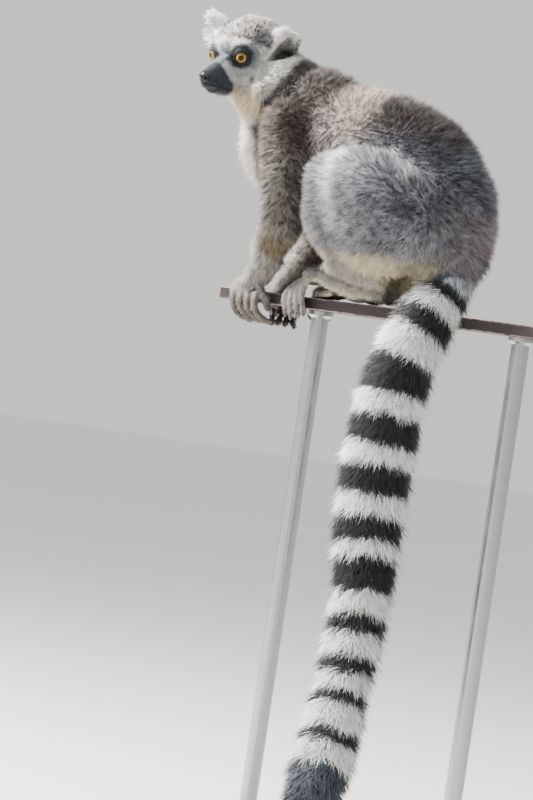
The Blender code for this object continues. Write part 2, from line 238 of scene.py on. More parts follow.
def legForms(side):
    hip, knee, heel = lineOn(side, pose["hip"], pose["knee"], pose["heel"])
    ankle = heel + Vector((6 * side, -2, 20))
    thigh = [hip, (hip + knee) / 2 + Vector((8 * side, 0, 10)), knee]
    shin = [knee, (knee + ankle) / 2 + Vector((12 * side, -13, -3)), ankle]
    return [
        ball(onSide((42, -6, 690), side), (50, 74, 66), coatDepth["thigh"][0]),
        ball(onSide((36, 8, 726), side), (34, 44, 34), coatDepth["thigh"][0]),
        tube(lineOn(side, (46, -52, 644), (38, -26, 638), (26, -2, 630)), (19, 21, 15), (6, 6, 5)),
        *limb(thigh, (52, 46, 30), coatDepth["thigh"]),
        *limb(shin, (28, 28, 13), coatDepth["shin"]),
    ]


def fingerLine(k, side):
    a = -175 + 8.8 * k + gripBack(side)
    reach = (4, 0, 1, 5)[k]  # how far the finger falls short of the longest one
    return lineOn(side, (28, a + 1, 598), (30.5, a + 5, 581), (21.5, a + 11, 572),
                  (11 + reach, a + 16, 571 - reach * 0.2))


def thumbLine(side):
    back = gripBack(side)
    return lineOn(side, (22, -150 + back, 606), (24, -142 + back, 596), (20, -136 + back, 584))


def toeLine(k, side):
    reach = (3, 0, 1, 4)[k]
    return lineOn(side, (14 + 4.6 * k, -88 + k, 620), (20 + 2.6 * k, -106 + 5 * k, 611),
                  (27, -112 + 6.6 * k, 597 + reach * 0.4), (23.5, -111 + 7.2 * k, 580 + reach))


def bigToeLine(side):
    return lineOn(side, (12, -60, 611), (7.5, -72, 607), (7, -86, 605))


def knuckled(line, radii, coat):  # a finger with a swelling at each joint
    joints = [ball(point, (radius * 1.1,) * 3, coat) for point, radius in zip(line[1:-1], radii[1:-1])]
    return [tube(line, radii, coat), ball(line[-1], (radii[-1] * 1.18,) * 3, coat)] + joints


def handForms(side):
    back = gripBack(side)
    wrist = onSide(pose["wrist"], side) + Vector((0, back, 0))
    coat = coatDepth["hand"]
    palm = [wrist + Vector((3 * side, 9, 14)), wrist, onSide((26, -162 + back, 602), side)]
    forms = [tube(palm, (14, 12, 11), coat), ball(onSide((25, -166 + back, 600), side), (8, 14, 14), coat)]
    for k in range(4):
        forms += knuckled(fingerLine(k, side), (4.6, 3.7, 3.4, 3.0), coatDepth["toe"])
    return forms + knuckled(thumbLine(side), (5.2, 4.2, 3.4), coatDepth["toe"])


def footForms(side):
    heel, arch, instep, toes = lineOn(side, pose["heel"], (18, -50, 615), (19, -78, 623), (20, -86, 621))
    sole = [heel + Vector((5 * side, -3, 26)), heel + Vector((0, -3, 2)), arch, instep]
    coat = coatDepth["hand"]
    forms = [tube(sole, (15, 13, 12, 11), coat), ball(heel + Vector((0, 6, -2)), (10, 12, 10), coat),
             ball(toes, (12, 12, 10), coat)]
    for k in range(4):
        forms += knuckled(toeLine(k, side), (5.2, 4.0, 3.5, 3.1), coatDepth["toe"])
    return forms + knuckled(bigToeLine(side), (7, 6, 4.6), coatDepth["toe"])


# root, tip and open side in the head's own directions, the depth of the cup, and how grey it is inside, which
# also sets how strong the painted shadow in its opening is
ears = {
    "left": {"root": (-31.8, 32, -8.5), "tip": (-49.6, 50, 18.5), "faces": (0.86, 0.5, -0.05),
             "halfWidth": 15, "cup": 8, "grey": 1.0},
    "right": {"root": (-36, -28, 9), "tip": (-40, -53, 37), "faces": (1, 0.1, 0.05),
              "halfWidth": 14, "cup": 7, "grey": 0.25},
}
earThickness = 3.4


def earFrame(name):
    ear = ears[name]
    root, tip = inHead(*ear["root"]), inHead(*ear["tip"])
    up = (tip - root).normalized()
    across = (headTurn @ Vector(ear["faces"])).cross(up).normalized()
    return root, (tip - root).length, up, across, up.cross(across)


def earPlace(name, a, b, lift=0):  # on the ear's leaf: a runs across it from -1 to 1, b up it from 0 to 1
    root, length, up, across, openSide = earFrame(name)
    ear = ears[name]
    half = ear["halfWidth"] * np.sin(pi * (0.27 + 0.60 * b)) ** 0.8
    b *= 1 - 0.16 * a * a * b
    sink = -ear["cup"] * (1 - a * a) * np.sin(pi * min(1, 0.25 + 0.62 * b)) + 3.2 * a * a * (1 - b)
    return root + up * (length * (b * 1.06 - 0.06)) + across * (half * a) + openSide * (sink + lift)


def addPlate(form, front, rear):  # faces over two sheets of vertices, and round their edge
    rows, steps = len(front) - 1, len(front[0]) - 1
    for sheet in (front, rear):
        for j in range(rows):
            for i in range(steps):
                form.faces.new([sheet[j][i], sheet[j][i + 1], sheet[j + 1][i + 1], sheet[j + 1][i]])
    rim = [(0, i) for i in range(steps)] + [(j, steps) for j in range(rows)]
    rim += [(rows, i) for i in range(steps, 0, -1)] + [(j, 0) for j in range(rows, 0, -1)]
    for (j, i), (nextJ, nextI) in zip(rim, rim[1:] + rim[:1]):
        form.faces.new([front[j][i], front[nextJ][nextI], rear[nextJ][nextI], rear[j][i]])


def earMesh(name):
    form = bmesh.new()
    steps = 14
    sheets = [[[form.verts.new(inWorld(earPlace(name, 2 * i / steps - 1, j / steps, lift)))
                for i in range(steps + 1)] for j in range(steps + 1)] for lift in (0, -earThickness)]
    addPlate(form, *sheets)
    bmesh.ops.recalc_face_normals(form, faces=form.faces)
    return written(form, bpy.data.meshes.new("ear"))


tail = {
    "knots": [(0, 62, 672), (5, 73, 645), (20, 65, 618), (38, 57, 582), (49, 48, 540), (55, 43, 470),
              (61, 45, 395), (73, 57, 320), (94, 65, 240), (124, 73, 165), (150, 78, 105), (164, 80, 72),
              (168, 80, 62)],
    "radii": [17, 24, 31, 34, 36, 38, 38, 33, 30, 34, 30, 15, 5],
    "leastFlesh": 0.42,  # of the radius, where the coat is deeper than that leaves
    # dark bands as (start, end) along the tail, where the hairs are rooted
    "bands": [(30, 35), (47, 61), (79, 101), (128, 163), (184, 215), (234, 265), (286, 313), (329, 364),
              (387, 406), (429, 447), (466, 480), (507, 520), (543, 700)],
}
tailLine = [Vector(knot) for knot in tail["knots"]]


def skinForms():
    forms = headForms() + trunkForms()
    for name, side in sides.items():
        forms += armForms(side) + legForms(side) + handForms(side) + footForms(side) + [earMesh(name)]
    radii = [max(radius - coatDepth["tail"], radius * tail["leastFlesh"]) for radius in tail["radii"]]
    return forms + [tube(tailLine, radii)]


skinPlan = {"voxel": 1.25, "smoothRounds": 3, "bodyRounds": 16, "thinnedTo": 0.2}


def grownSkin(forms):
    form = bmesh.new()
    for mesh in forms:
        form.from_mesh(mesh)
        bpy.data.meshes.remove(mesh)
    shape = placed("guide", written(form, bpy.data.meshes.new("lemur_skin")))
    addModifier(shape, "REMESH", mode="VOXEL", voxel_size=skinPlan["voxel"] * mm)
    addModifier(shape, "SMOOTH", factor=0.5, iterations=skinPlan["smoothRounds"])
    return finished(shape)


turnRows = np.array(headTurn)
eyesRow = np.array(pose["eyes"], float)
railRow = np.array(railMiddle, float)


def headPlaces(points):  # rows in world metres, as mm along the turned head
    return (points / mm - railRow - eyesRow) @ turnRows


def fromHead(rows):
    return (rows @ turnRows.T + eyesRow + railRow) * mm


def bodyPlaces(points):  # rows in world metres, as mm from the rail's middle on the floor
    return points / mm - railRow


def easedStep(values, low, high):
    t = np.clip((values - low) / (high - low), 0, 1)
    return t * t * (3 - 2 * t)


def read(source, key, width=3, kind=float):
    rows = np.empty(len(source) * width, kind)
    source.foreach_get(key, rows)
    return rows.reshape(-1, width)


def bareness(rows):  # 1 on the face, ears, hands and feet, where the skin stays fine
    forward, left, up = headPlaces(rows).T
    x, y, z = bodyPlaces(rows).T
    face = easedStep(forward, -34, -24) * easedStep(up, -46, -38)
    ear = easedStep(np.abs(left), 25, 30) * easedStep(up, -22, -14) * (forward > -70)
    grip = easedStep(-z, -636, -628) * (y < 6) * (np.abs(x) < 44) * (z > 555)
    return np.maximum(np.maximum(face, ear), grip)


def thinned(mesh):
    shape = placed("guide", mesh)
    group = shape.vertex_groups.new(name="hidden")
    levels = np.round((1 - bareness(read(mesh.vertices, "co"))) * 4).astype(int)
    for level in range(1, 5):
        group.add(np.flatnonzero(levels == level).tolist(), level / 4, "REPLACE")
    addModifier(shape, "SMOOTH", vertex_group="hidden", factor=0.5, iterations=skinPlan["bodyRounds"])
    addModifier(shape, "DECIMATE", vertex_group="hidden", vertex_group_factor=1, ratio=skinPlan["thinnedTo"])
    return finished(shape)


def splitFiner(form, chosen):  # halves the edges of the faces whose middles are chosen
    middles = np.array([face.calc_center_median() for face in form.faces])
    edges = {edge for face, wanted in zip(form.faces, chosen(middles)) if wanted for edge in face.edges}
    bmesh.ops.subdivide_edges(form, edges=list(edges), cuts=1, use_grid_fill=True)


def nearFace(rows):
    forward, left, up = headPlaces(rows).T
    return (forward > -20) & (up > -35) & (up < 16) & (np.abs(left) < 32)


def nearMuzzle(rows):
    forward, _, up = headPlaces(rows).T
    return (forward > 25) & (up > -36)


def nearEars(rows):
    forward, left, up = headPlaces(rows).T
    return (np.abs(left) > 31) & (up > -16) & (forward > -70)


face = {
    "eyeRadius": 8.4,
    "eyePlace": (-6.6, 14.6, 0.5),
    "rightEyeShift": (0.6, -1.2, 0),
    "gaze": (6.6, 3.7, -0.5),  # forward, outward and up
    "lidThickness": 0.95,
    "opening": (5.7, 4.8, 5.3),  # half width, half height above and below the middle
    "innerCorner": 1.5,
    "mouthLine": [(39.5, -22.6), (35, -23.6), (29, -25.6), (21, -27.6), (13, -29.4), (7, -30.0)],
    "mouthDepth": 1.5,
    "nostril": (40.2, 3.7, -16.6),
}


# in the head's directions: the middle of the eyeball, the ways to the nose and up, and the way it looks
def eyeFrame(side):
    centre = np.array(face["eyePlace"]) * (1, side, 1)
    if side < 0:
        centre = centre + face["rightEyeShift"]
    look = np.array(face["gaze"]) * (1, side, 1)
    look /= np.linalg.norm(look)
    up = np.array((0, 0, 1.0)) - look * look[2]
    up /= np.linalg.norm(up)
    return centre, np.cross(look, up) * side, up, look


def lidOpening(angle):
    width, above, below = face["opening"]
    height = np.where(np.sin(angle) > 0, above, below)
    rim = 1 / np.sqrt((np.cos(angle) / width) ** 2 + (np.sin(angle) / height) ** 2)
    turned = np.angle(np.exp(1j * angle))
    outer = np.angle(np.exp(1j * (angle - pi)))
    return rim + face["innerCorner"] * np.exp(-(turned / 0.33) ** 2) + 0.3 * np.exp(-(outer / 0.4) ** 2)


def distanceToLine(rows, line):  # in the side view
    best = np.full(len(rows), 1e9)
    for (f0, u0), (f1, u1) in zip(line, line[1:]):
        along = np.array((f1 - f0, u1 - u0), float)
        t = np.clip(((rows[:, [0, 2]] - (f0, u0)) @ along) / (along @ along), 0, 1)
        best = np.minimum(best, np.linalg.norm(rows[:, [0, 2]] - (f0, u0) - t[:, None] * along, axis=1))
    return best


def sculptedFace(rows, normals):  # rows and normals in the head's directions
    rows = rows.copy()
    for side in sides.values():
        # a hollow round each eye, with a ridge of brow over it
        centre, _, up, look = eyeFrame(side)
        offset = rows - centre
        ahead = offset @ look
        aside = np.linalg.norm(offset - ahead[:, None] * look, axis=1)
        wanted = 3.4 - 0.34 * (aside - 9.5)
        pull = (1 - easedStep(aside, 9.5, 17)) * (ahead > -4) * 0.8
        rows += (pull * (wanted - ahead))[:, None] * look
        ridge = np.exp(-((aside - 12.5) / 2.6) ** 2) * easedStep(offset @ up, 2, 9) * (ahead > -6)
        rows += (0.9 * ridge)[:, None] * (look * 0.6 + up * 0.5)
        # nostril: a pit that runs out and back as a slit
        forward, left, lift = face["nostril"]
        pit = rows - (forward, left * side, lift)
        hollow = np.exp(-(pit[:, 1] / 1.5) ** 2 - (pit[:, 2] / 1.15) ** 2)
        rows[:, 0] -= 2.4 * hollow * (np.abs(pit[:, 0]) < 5)
        slit = rows - (forward - 2.6, (left + 1.9) * side, lift - 0.5)
        deep = np.exp(-(slit[:, 0] / 1.8) ** 2 - (slit[:, 2] / 0.7) ** 2) * (np.abs(slit[:, 1]) < 3)
        rows[:, 1] -= 1.3 * deep * side
        # wing of the nostril
        wing = rows - (forward - 1.5, (left + 1.2) * side, lift + 1.7)
        rows += (0.5 * np.exp(-(wing ** 2).sum(1) / 3.2))[:, None] * (0.5, 0.75 * side, 0.35)
    # groove under the nose, and the mouth
    groove = np.exp(-(rows[:, 1] / 0.6) ** 2) * easedStep(rows[:, 0], 36, 39)
    groove *= easedStep(rows[:, 2], -24, -21) * (1 - easedStep(rows[:, 2], -15.5, -13.5))
    rows[:, 0] -= 0.9 * groove
    gap = distanceToLine(rows, face["mouthLine"])
    mouth = np.exp(-(gap / 0.75) ** 2) * easedStep(rows[:, 0], 5, 10) * (rows[:, 2] < -18)
    lips = np.exp(-((gap - 1.9) / 1.0) ** 2) * easedStep(rows[:, 0], 8, 14) * (rows[:, 2] < -18)
    return rows + normals * (0.35 * lips - face["mouthDepth"] * mouth)[:, None]


def addLids(form, side):
    centre, noseward, up, look = eyeFrame(side)

    def eyePlaces(verts):
        offset = headPlaces(np.array([vert.co for vert in verts])) - centre
        return offset @ noseward, offset @ up, offset @ look

    verts = list(form.verts)
    across, high, ahead = eyePlaces(verts)
    inside = (np.hypot(across, high) < 9.4) & (ahead > -3) & (ahead < 16)
    doomed = [vert for vert, gone in zip(verts, inside) if gone]
    bmesh.ops.delete(form, geom=doomed, context="VERTS")
    edges = [edge for edge in form.edges if edge.is_boundary]
    rim = list({vert for edge in edges for vert in edge.verts})
    across, high, ahead = eyePlaces(rim)
    order = walkedRim(edges, {vert for vert, close in zip(rim, np.hypot(across, high) < 14) if close})
    across, high, ahead = eyePlaces(order)
    angle = np.unwrap(np.arctan2(high, across))
    full = angle[0] + 2 * pi * np.sign(angle[-1] - angle[0])
    angle = np.linspace(angle[0], full, len(order), endpoint=False) * 0.6 + angle * 0.4  # evener steps
    opening = lidOpening(angle)
    radius, thick = face["eyeRadius"], face["lidThickness"]

    def lidRing(beyond, reach):
        aside = opening + beyond
        forward = np.sqrt(np.maximum(reach ** 2 - aside ** 2, 0.3))
        return (np.outer(np.cos(angle) * aside, noseward) + np.outer(np.sin(angle) * aside, up)
                + np.outer(forward, look))

    start = np.outer(across, noseward) + np.outer(high, up) + np.outer(ahead, look)
    lid = lidRing(1.5, radius + thick + 0.1)
    rings = []
    for t, crease in ((0.2, 0.0), (0.4, -0.1), (0.58, -0.42), (0.72, 0.1), (0.86, 0.12)):
        rings.append(start * (1 - t) + lid * t + crease * look)
    rings += [lid, lidRing(0.85, radius + thick), lidRing(0.35, radius + thick - 0.12),
              lidRing(0.05, radius + thick * 0.45), lidRing(0.0, radius + 0.05), lidRing(0.5, radius - 0.5)]
    outer = order
    for ring in rings:
        inner = [form.verts.new(place) for place in fromHead(ring + centre)]
        for i in range(len(outer)):
            j = (i + 1) % len(outer)
            form.faces.new([outer[i], outer[j], inner[j], inner[i]])
        outer = inner


def walkedRim(edges, members):  # the boundary's vertices in order round the hole
    links = {}
    for edge in edges:
        a, b = edge.verts
        if a in members and b in members:
            links.setdefault(a, []).append(b)
            links.setdefault(b, []).append(a)
    start = next(vert for vert, ends in links.items() if len(ends) == 2)
    order, last = [start], None
    while True:
        following = [vert for vert in links[order[-1]] if vert is not last and vert is not start]
        following = [vert for vert in following if vert not in order[-3:]]
        if not following:
            return order
        last = order[-1]
        order.append(following[0])


def madeSkin():
    mesh = thinned(grownSkin(skinForms()))
    report(f"skin grown and thinned, {len(mesh.polygons)} faces")
    form = formOf(mesh)
    splitFiner(form, nearFace)
    splitFiner(form, nearMuzzle)
    verts = list(form.verts)
    rows = np.array([vert.co for vert in verts])
    for zone, rounds in ((nearFace, 3), (nearEars, 7)):
        smoothed = [vert for vert, wanted in zip(verts, zone(rows)) if wanted]
        for _ in range(rounds):
            bmesh.ops.smooth_vert(form, verts=smoothed, factor=0.5, use_axis_x=True, use_axis_y=True,
                                  use_axis_z=True)
    written(form, mesh)
    rows = sculptedFace(headPlaces(read(mesh.vertices, "co")), read(mesh.vertex_normals, "vector") @ turnRows)
    mesh.vertices.foreach_set("co", fromHead(rows).ravel())
    form = formOf(mesh)
    for side in sides.values():
        addLids(form, side)
    bmesh.ops.recalc_face_normals(form, faces=form.faces)
    return smoothPiece("lemur_skin", written(form, mesh))


skin = madeSkin()
report(f"skin sculpted, {len(skin.data.polygons)} faces")


def both(name, places, *facts):
    return {f"{name}_{which}": (lineOn(side, *places), *facts) for which, side in sides.items()}


def headLine(*places):
    return [inHead(*place) for place in places]


# the coat lies along these bones, each with its line from root to tip, how far its flesh reaches,
# and the length, width and lift in degrees of its tufts
bones = {
    "muzzle": (headLine((40, 0, -20), (14, 0, -16)), 15, 2.0, 0.4, 10),
    "bridge": (headLine((14, 0, -4), (-6, 0, 8)), 9, 3.6, 0.45, 13),
    "face": (headLine((8, 0, -10), (-22, 0, -2)), 21, 4.4, 0.46, 18),
    "crown": (headLine((-12, 0, 20), (-34, 0, 22), (-62, 0, 10)), 30, 4.0, 0.44, 42),
    **{f"cheek_{which}": (headLine((2, 12 * side, -20), (-24, 28 * side, -20), (-44, 36 * side, -20)),
                          18, 6.6, 0.5, 24) for which, side in sides.items()},
    "throat": (headLine((-2, 0, -33), (-16, 0, -36)) + [Vector((14, -192, 770))], 20, 11, 0.6, 26),
    "neck": (headLine((-60, 0, -6)) + [Vector((0, -168, 806)), Vector((0, -128, 800))], 36, 9.2, 0.5, 50),
    "chest": (((8, -186, 778), (2, -188, 730), (0, -150, 690)), 34, 16, 0.66, 42),
    "back": (((0, -130, 780), (0, -60, 772), (0, 6, 748), (0, 52, 706), (0, 74, 668)), 52, 11, 0.54, 58),
    "belly": (((0, -140, 700), (0, -40, 678), (0, 50, 646)), 40, 15, 0.65, 42),
    "tail": (tailLine, 20, 21, 0.8, 46),
    **both("upperArm", [pose["shoulder"], pose["elbow"]], 27, 10, 0.52, 54),
    **both("forearm", [pose["elbow"], pose["wrist"]], 16, 7.5, 0.5, 32),
    **both("hand", [pose["wrist"], (30, -160, 598), (28, -158, 578), (12, -152, 572)], 10, 3.6, 0.45, 14),
    **both("thigh", [(34, 40, 700), (54, -16, 708), (68, -50, 700)], 44, 10.8, 0.52, 58),
    **both("shin", [(62, -56, 676), (40, -42, 650), (24, -26, 632)], 20, 9, 0.52, 34),
    **both("foot", [pose["heel"], (18, -50, 615), (20, -90, 620), (27, -102, 585)], 12, 4.0, 0.45, 14),
    **{f"ear_{which}": (headLine(ear["root"], ear["tip"]), 13, 5.5, 0.5, 26) for which, ear in ears.items()},
}
boneNames = list(bones)
headBones = ("muzzle", "bridge", "face", "crown", "cheek_left", "cheek_right")
earBones = ("ear_left", "ear_right")
armBones = ("upperArm_left", "upperArm_right", "forearm_left", "forearm_right")
gripBones = ("hand_left", "hand_right", "foot_left", "foot_right")
tickedBones = ("neck", "back", "upperArm_left", "upperArm_right", "thigh_left", "thigh_right")


def shareOf(shares, *names):
    return shares[:, [boneNames.index(name) for name in names]].sum(1)


def lineDistance(rows, line):  # how far off a line of points is, its direction there, and the way along it
    best = np.full(len(rows), 1e9)
    direction = np.zeros((len(rows), 3))
    reached = np.zeros(len(rows))
    passed = 0
    for start, end in zip(line, line[1:]):
        start, end = np.array(start, float), np.array(end, float)
        step = end - start
        size = np.linalg.norm(step)
        t = np.clip((rows - start) @ step / size ** 2, 0, 1)
        gap = np.linalg.norm(rows - start - t[:, None] * step, axis=1)
        closer = gap < best
        best[closer] = gap[closer]
        direction[closer] = step / size
        reached[closer] = passed + t[closer] * size
        passed += size
    return best, direction, reached


def unit(rows):
    return rows / np.maximum(np.linalg.norm(rows, axis=1, keepdims=True), 1e-9)


# each bone's share of each place, and the lie, length, width and lift of the tufts there
def coatPlan(rows, normals):
    shares = np.empty((len(rows), len(bones)))
    facts = np.array([bone[2:] for bone in bones.values()], float)
    lie = np.zeros((len(rows), 3))
    ways = []
    for k, (line, reach, *_) in enumerate(bones.values()):
        gap, direction, _ = lineDistance(rows, line)
        shares[:, k] = gap / reach
        ways.append(direction)
    shares = np.exp(-8 * (shares - shares.min(1, keepdims=True)))
    shares /= shares.sum(1, keepdims=True)
    for k, way in enumerate(ways):
        lie += shares[:, k:k + 1] * way
    # the coat of the trunk and limbs also hangs a little
    hang = 1 - shareOf(shares, "muzzle", "bridge", "face", "crown", "tail")
    lie += (0.8 * hang)[:, None] * np.array((0, 0.2, -1.0))
    lie -= (lie * normals).sum(1, keepdims=True) * normals
    return shares, unit(lie), *(shares @ facts).T


def shade(code):  # an sRGB colour as the linear one that Blender works in
    values = np.array([int(code[i:i + 2], 16) / 255 for i in (1, 3, 5)])
    return np.where(values <= 0.04045, values / 12.92, ((values + 0.055) / 1.055) ** 2.4)


# the darkest and the palest hairs in each marking, and in each painted highlight and shade
hairs = {
    "cheek": ("#adaca5", "#f8f7f1"), "crown": ("#0b0a0c", "#d3cecd"), "crownTopHighlight": ("#bfb6ae", "#ffffff"),
    "crownRim": ("#232427", "#6c6d72"), "brow": ("#9fa19f", "#fbfbf8"), "patch": ("#14171c", "#2e353d"),
    "patchRim": ("#070809", "#121316"), "patchFade": ("#4f5963", "#8c969f"),
    "muzzle": ("#191c22", "#3d444f"), "bridge": ("#454c55", "#868f99"),
    "bridgeLine": ("#181b20", "#343a42"), "whiskerBed": ("#8f999f", "#d4d8d8"),
    "spot": ("#26282b", "#4a4c4e"), "throat": ("#b8a480", "#eadcbd"), "neckSide": ("#bcbab2", "#ffffff"),
    "stripe": ("#0b0b0c", "#26292c"), "secondStripe": ("#2c2c2e", "#6d6c6c"),
    "nape": ("#2a2625", "#a8a09c"), "chestWhite": ("#dcd8d1", "#fffdf9"), "back": ("#1f1c1d", "#979089"),
    "humpTanAndHighlight": ("#a58771", "#fff0e2"), "humpSide": ("#4b4748", "#f1ece9"), "shoulder": ("#171210", "#76685f"),
    "saddleFurAndShadow": ("#181618", "#6e6666"), "rump": ("#1f2228", "#878a95"), "thigh": ("#272a30", "#a6a9b2"),
    "thighPaintedHighlight": ("#8d8e92", "#ffffff"), "hipHollowShade": ("#1f2224", "#6c7174"),
    "thighEdgeShade": ("#232429", "#74757b"), "cream": ("#a39578", "#d9cdb3"), "rosy": ("#5a5457", "#aaa2a4"),
    "dark": ("#1c1a1c", "#4b464a"), "pink": ("#8a6166", "#c2969a"), "forearm": ("#44413e", "#c2bdb6"),
    "tan": ("#2a2319", "#8f7d5f"), "hand": ("#565351", "#aeaaa6"), "finger": ("#3a3733", "#8a847a"),
    "foot": ("#565452", "#a9a6a2"), "sole": ("#938a70", "#d6caa6"), "heel": ("#474c51", "#949a9f"),
    "tailWhite": ("#dde0e4", "#ffffff"), "tailBlack": ("#0b0b0d", "#28282c"),
    "tailRoot": ("#8d98a3", "#e6ebef"), "tailTip": ("#1f252c", "#606a75"),
    "earWhite": ("#e8e7e3", "#ffffff"), "earGrey": ("#4a4745", "#b5b1ad"),
    "earHoleShadow": ("#040405", "#0c0b0d"),
}
hairs = {name: (shade(dark), shade(pale)) for name, (dark, pale) in hairs.items()}


def near(rows, place, size):  # a soft round patch of that size
    return np.exp(-(((rows - place) / size) ** 2).sum(1))


def waver(rows, size, seed):  # gentle unevenness, from about -1 to 1
    rng = np.random.default_rng(seed)
    total = np.zeros(len(rows))
    for _ in range(6):
        way = rng.normal(size=3)
        way *= 2 * pi / (size * np.linalg.norm(way) * rng.uniform(0.7, 1.6))
        total += np.sin(rows @ way + rng.uniform(0, 6.3))
    return total / 3.2


def layOver(colours, name, mask):  # lays a marking's dark and pale hairs over the ones that are there
    mask = np.clip(mask, 0, 1)[:, None]
    for tones, hair in zip(colours, hairs[name]):
        tones[:] = tones * (1 - mask) + hair * mask


stripes = {  # the line of each, how far it reaches to each side of it, and its strength
    "stripe": ([(-16, -142, 856), (-6, -139, 845), (6, -139, 832), (20, -139, 818), (27, -146, 806),
                (29, -155, 794), (28, -162, 782), (28, -166, 766), (28, -170, 746), (18, -180, 724)],
               9.5, 1.0),
    "secondStripe": ([(-2, -126, 834), (14, -127, 820), (28, -133, 804), (35, -143, 790)], 4.6, 0.9),
}
# strength, place and size of each painted highlight on the crests of the thigh and hip
thighHighlights = ((1, (62, -48, 748), (30, 22, 16)), (1, (84, -42, 716), (22, 12, 24)),
          (0.8, (80, -40, 680), (22, 11, 22)), (0.9, (50, 8, 744), (18, 11, 18)),
          (0.9, (60, 28, 724), (20, 11, 20)))
# strength, place and size of the dark spots on the cheek
spots = ((1.3, (-15.5, 18.5, -21.3), (2.2, 5, 2.2)), (0.8, (-9, 16, -17.8), (3, 4, 1)),
         (0.8, (-19.3, 28, -12.8), (1.2, 4, 1.6)), (0.8, (-22.5, 33, -8.3), (1.2, 4, 1.6)))
# heights on the head, and how far forward the muzzle's dark edge is at each
muzzleEdge = ((-37, -34, -31, -27, -22, -16.6, -14, -5, 0), (0, -2, 2, 8, 12, 12.8, 16.5, 18.6, 19))
